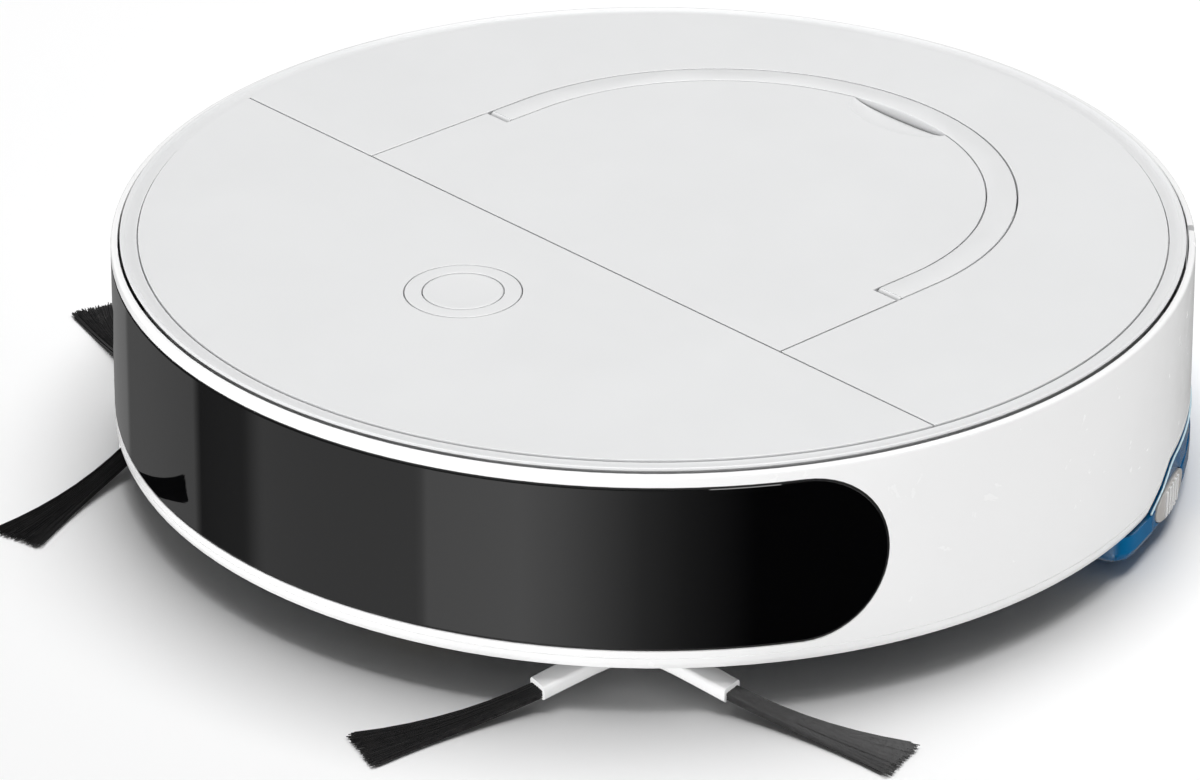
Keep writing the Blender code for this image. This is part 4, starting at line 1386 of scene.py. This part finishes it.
ARM_END = 31.0
for side, word in ((1, "right"), (-1, "left")):
    centre = Vector((side * BRUSH_XY[0], BRUSH_XY[1], 0.0))
    arms = bmesh.new()
    turned(arms, HUB_PROFILE, 40, centre[:2])
    fans = zip(BRUSH_ANGLES[word], ARM_LEAN[word], TIP_SWEEP[word])
    for number, (degrees, lean, sweep) in enumerate(fans, 1):
        angle, arm_angle = math.radians(degrees), math.radians(degrees + lean)
        heading = Vector((math.cos(arm_angle), math.sin(arm_angle), 0.0))
        across = Vector((-heading.y, heading.x, 0.0))
        rings = []
        for reach, width, low, high in ARM_ROWS:
            middle = centre + heading * reach
            ring = []
            for x, y in rounded_box(width, high - low, 1.1):
                ring.append(tuple(middle + across * x + Vector((0.0, 0.0, (low + high) / 2 + y))))
            rings.append(ring)
        skin(arms, rings)
        root = centre + heading * ARM_END
        tip = centre + Vector((math.cos(angle), math.sin(angle), 0.0)) * BRUSH_LENGTH
        along = (tip - root).normalized()
        tuft = TUFT.make(
            f"bristles_{word}_{number}",
            "bristle",
            f"side_brush_{word}",
            Root=tuple(root),
            Direction=tuple(along),
            Across=(-along.y, along.x, 0.0),
            Length=(tip - root).length,
            Bend=sweep,
            Seed=10 * number + side,
        )
        tuft.visible_glossy = word == "left"  # the window shows the left brush only
        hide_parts(f"side_brush_tuft_{word}_{number}")
    outward(arms)
    stands_for(piece(f"brush_arms_{word}", arms, "white_shell", 32.0), f"side_brush_hub_{word}")
    tyre = bmesh.new()
    tread = [(28.0, -9.6), (28.4, -10.0), (30.4, -10.0), (31.3, -9.2), (31.7, -8.0)]
    tread += [(radius, -reach) for radius, reach in reversed(tread)]
    turned(tyre, [(radius, side * WHEEL[0] + reach) for radius, reach in tread], 96, WHEEL[1:], "x")
    outward(tyre)
    stands_for(piece(f"tyre_body_{word}", tyre, "tyre", 40.0), f"tyre_{word}")
    LUGS.make(
        f"tread_{word}",
        "tyre",
        f"drive_wheel_{word}",
        smooth=False,
        Centre=(side * WHEEL[0], WHEEL[1], WHEEL[2]),
    )
    RIBS.make(
        f"grip_ribs_{word}",
        "release_grey",
        f"release_button_{word}",
        smooth=False,
        finish="white_shell",
        Azimuth=side * RELEASE_AZIMUTH,
    )

SWEEP.make("roller_sweep", "bristle", "main_roller", Centre=(0.0, *ROLLER), Start=0.9, Wind=0.0)

UNDER_SCREWS = (
    (-60.0, -141.0, 13.8),
    (60.0, -141.0, 13.8),
    (-132.0, -72.0, 13.8),
    (132.0, -72.0, 13.8),
    (-148.0, 12.0, 13.8),
    (148.0, 12.0, 13.8),
    (-86.0, -24.0, 11.7),
    (86.0, -24.0, 11.7),
    (-86.0, 31.0, 11.7),
    (86.0, 31.0, 11.7),
    (-42.0, -94.0, 13.9),
    (34.0, -94.0, 13.9),
    (-42.0, -60.0, 13.9),
    (34.0, -60.0, 13.9),
)
for number, place in enumerate(UNDER_SCREWS, 1):
    SCREW.make(f"screw_{number:02d}", "steel", "chassis", smooth=False, Place=place, Turn=0.37 * number)

CLOTH_RADIUS, CLOTH_FRONT = 149.0, 44.0


def cloth_mesh():
    """The mop cloth: a D of microfibre with a rounded, slightly puckered hem."""
    start = math.degrees(math.asin(CLOTH_FRONT / CLOTH_RADIUS))
    outline = arc(CLOTH_RADIUS, start, 180.0 - start, 180)
    mesh = bmesh.new()
    loops = []
    for z, inset in ((3.0, 1.0), (2.85, 0.35), (2.3, 0.0), (1.3, 0.0), (0.75, 0.35), (0.5, 1.0)):
        loop = []
        for i, (x, y) in enumerate(moved_in(outline, inset)):
            pucker = 0.16 * math.sin(i * 1.9) if 0.2 < z < 2.9 else 0.0
            shrink = 1.0 - max(pucker, 0.0) / CLOTH_RADIUS
            loop.append(mesh.verts.new((x * shrink, y * shrink, z)))
        loops.append(loop)
    for a, b in zip(loops, loops[1:]):
        for i in range(len(a)):
            j = (i + 1) % len(a)
            mesh.faces.new((a[i], a[j], b[j], b[i]))
    sole = [Vector(v.co) for v in loops[-1]]
    middle = Vector((0.0, 92.0, 0.0))
    previous = loops[-1]
    for k in range(1, 12):
        share = 1.0 - k / 12.0
        ring = []
        for point in sole:
            x, y = middle.x + (point.x - middle.x) * share, middle.y + (point.y - middle.y) * share
            wave = 0.05 * math.sin(x * 0.55) * math.sin(y * 0.41)
            ring.append(mesh.verts.new((x, y, 0.42 + wave)))
        for i in range(len(ring)):
            j = (i + 1) % len(ring)
            mesh.faces.new((previous[i], previous[j], ring[j], ring[i]))
        previous = ring
    mesh.faces.new(previous)
    mesh.faces.new(loops[0])
    outward(mesh)
    return mesh


cloth = stands_for(piece("mop_cloth_pile", cloth_mesh(), "mop_cloth", 60.0), "mop_cloth")
stitch_from = math.asin((CLOTH_FRONT + 4.5) / 144.5)
hem = STITCHES.make(
    "mop_hem",
    "mop_cloth",
    "water_tank",
    Radius=144.5,
    From=stitch_from,
    Sweep=math.pi - 2 * stitch_from,
    Place=(0.0, 0.0, 0.5),
)

# Path of the painted highlight strip along the tank's upper lip: azimuth and height.
TANK_LIP = [(109.6, 13.9), (113.0, 17.6), (115.6, 21.7), (117.0, 22.7)]
TANK_LIP += [(119.0 + 2.0 * i, 22.75) for i in range(62)]
TANK_LIP += [(360.0 - azimuth, z) for azimuth, z in reversed(TANK_LIP[:4])]
BEAD_RADIUS = 0.3


def highlight_bead_mesh():
    """A pale rounded strip along the tank's upper edge: a painted highlight standing in for the light its
    lip catches.
    """
    mesh = bmesh.new()
    rings = []
    for azimuth, z in TANK_LIP:
        ring = []
        for k in range(8):
            angle = math.pi / 4 * k
            radius = TANK_RADIUS - 0.45 * (z - 8.0) / 15.0 - 0.1 + BEAD_RADIUS * math.cos(angle)
            ring.append((*at_azimuth(radius, azimuth), z + BEAD_RADIUS * math.sin(angle)))
        rings.append(ring)
    skin(mesh, rings)
    outward(mesh)
    return mesh


# the pale strip is a painted highlight, not a separate part of the tank
highlight_bead = piece("tank_edge_bead", highlight_bead_mesh(), "tank_edge", 50.0)
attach(highlight_bead, "water_tank")

# ------------------------------------------------------------------ the machine's pieces, gathered for the wall fills
for thing in bpy.context.scene.objects:
    if thing.type == "MESH" and thing != floor:
        machine.objects.link(thing)
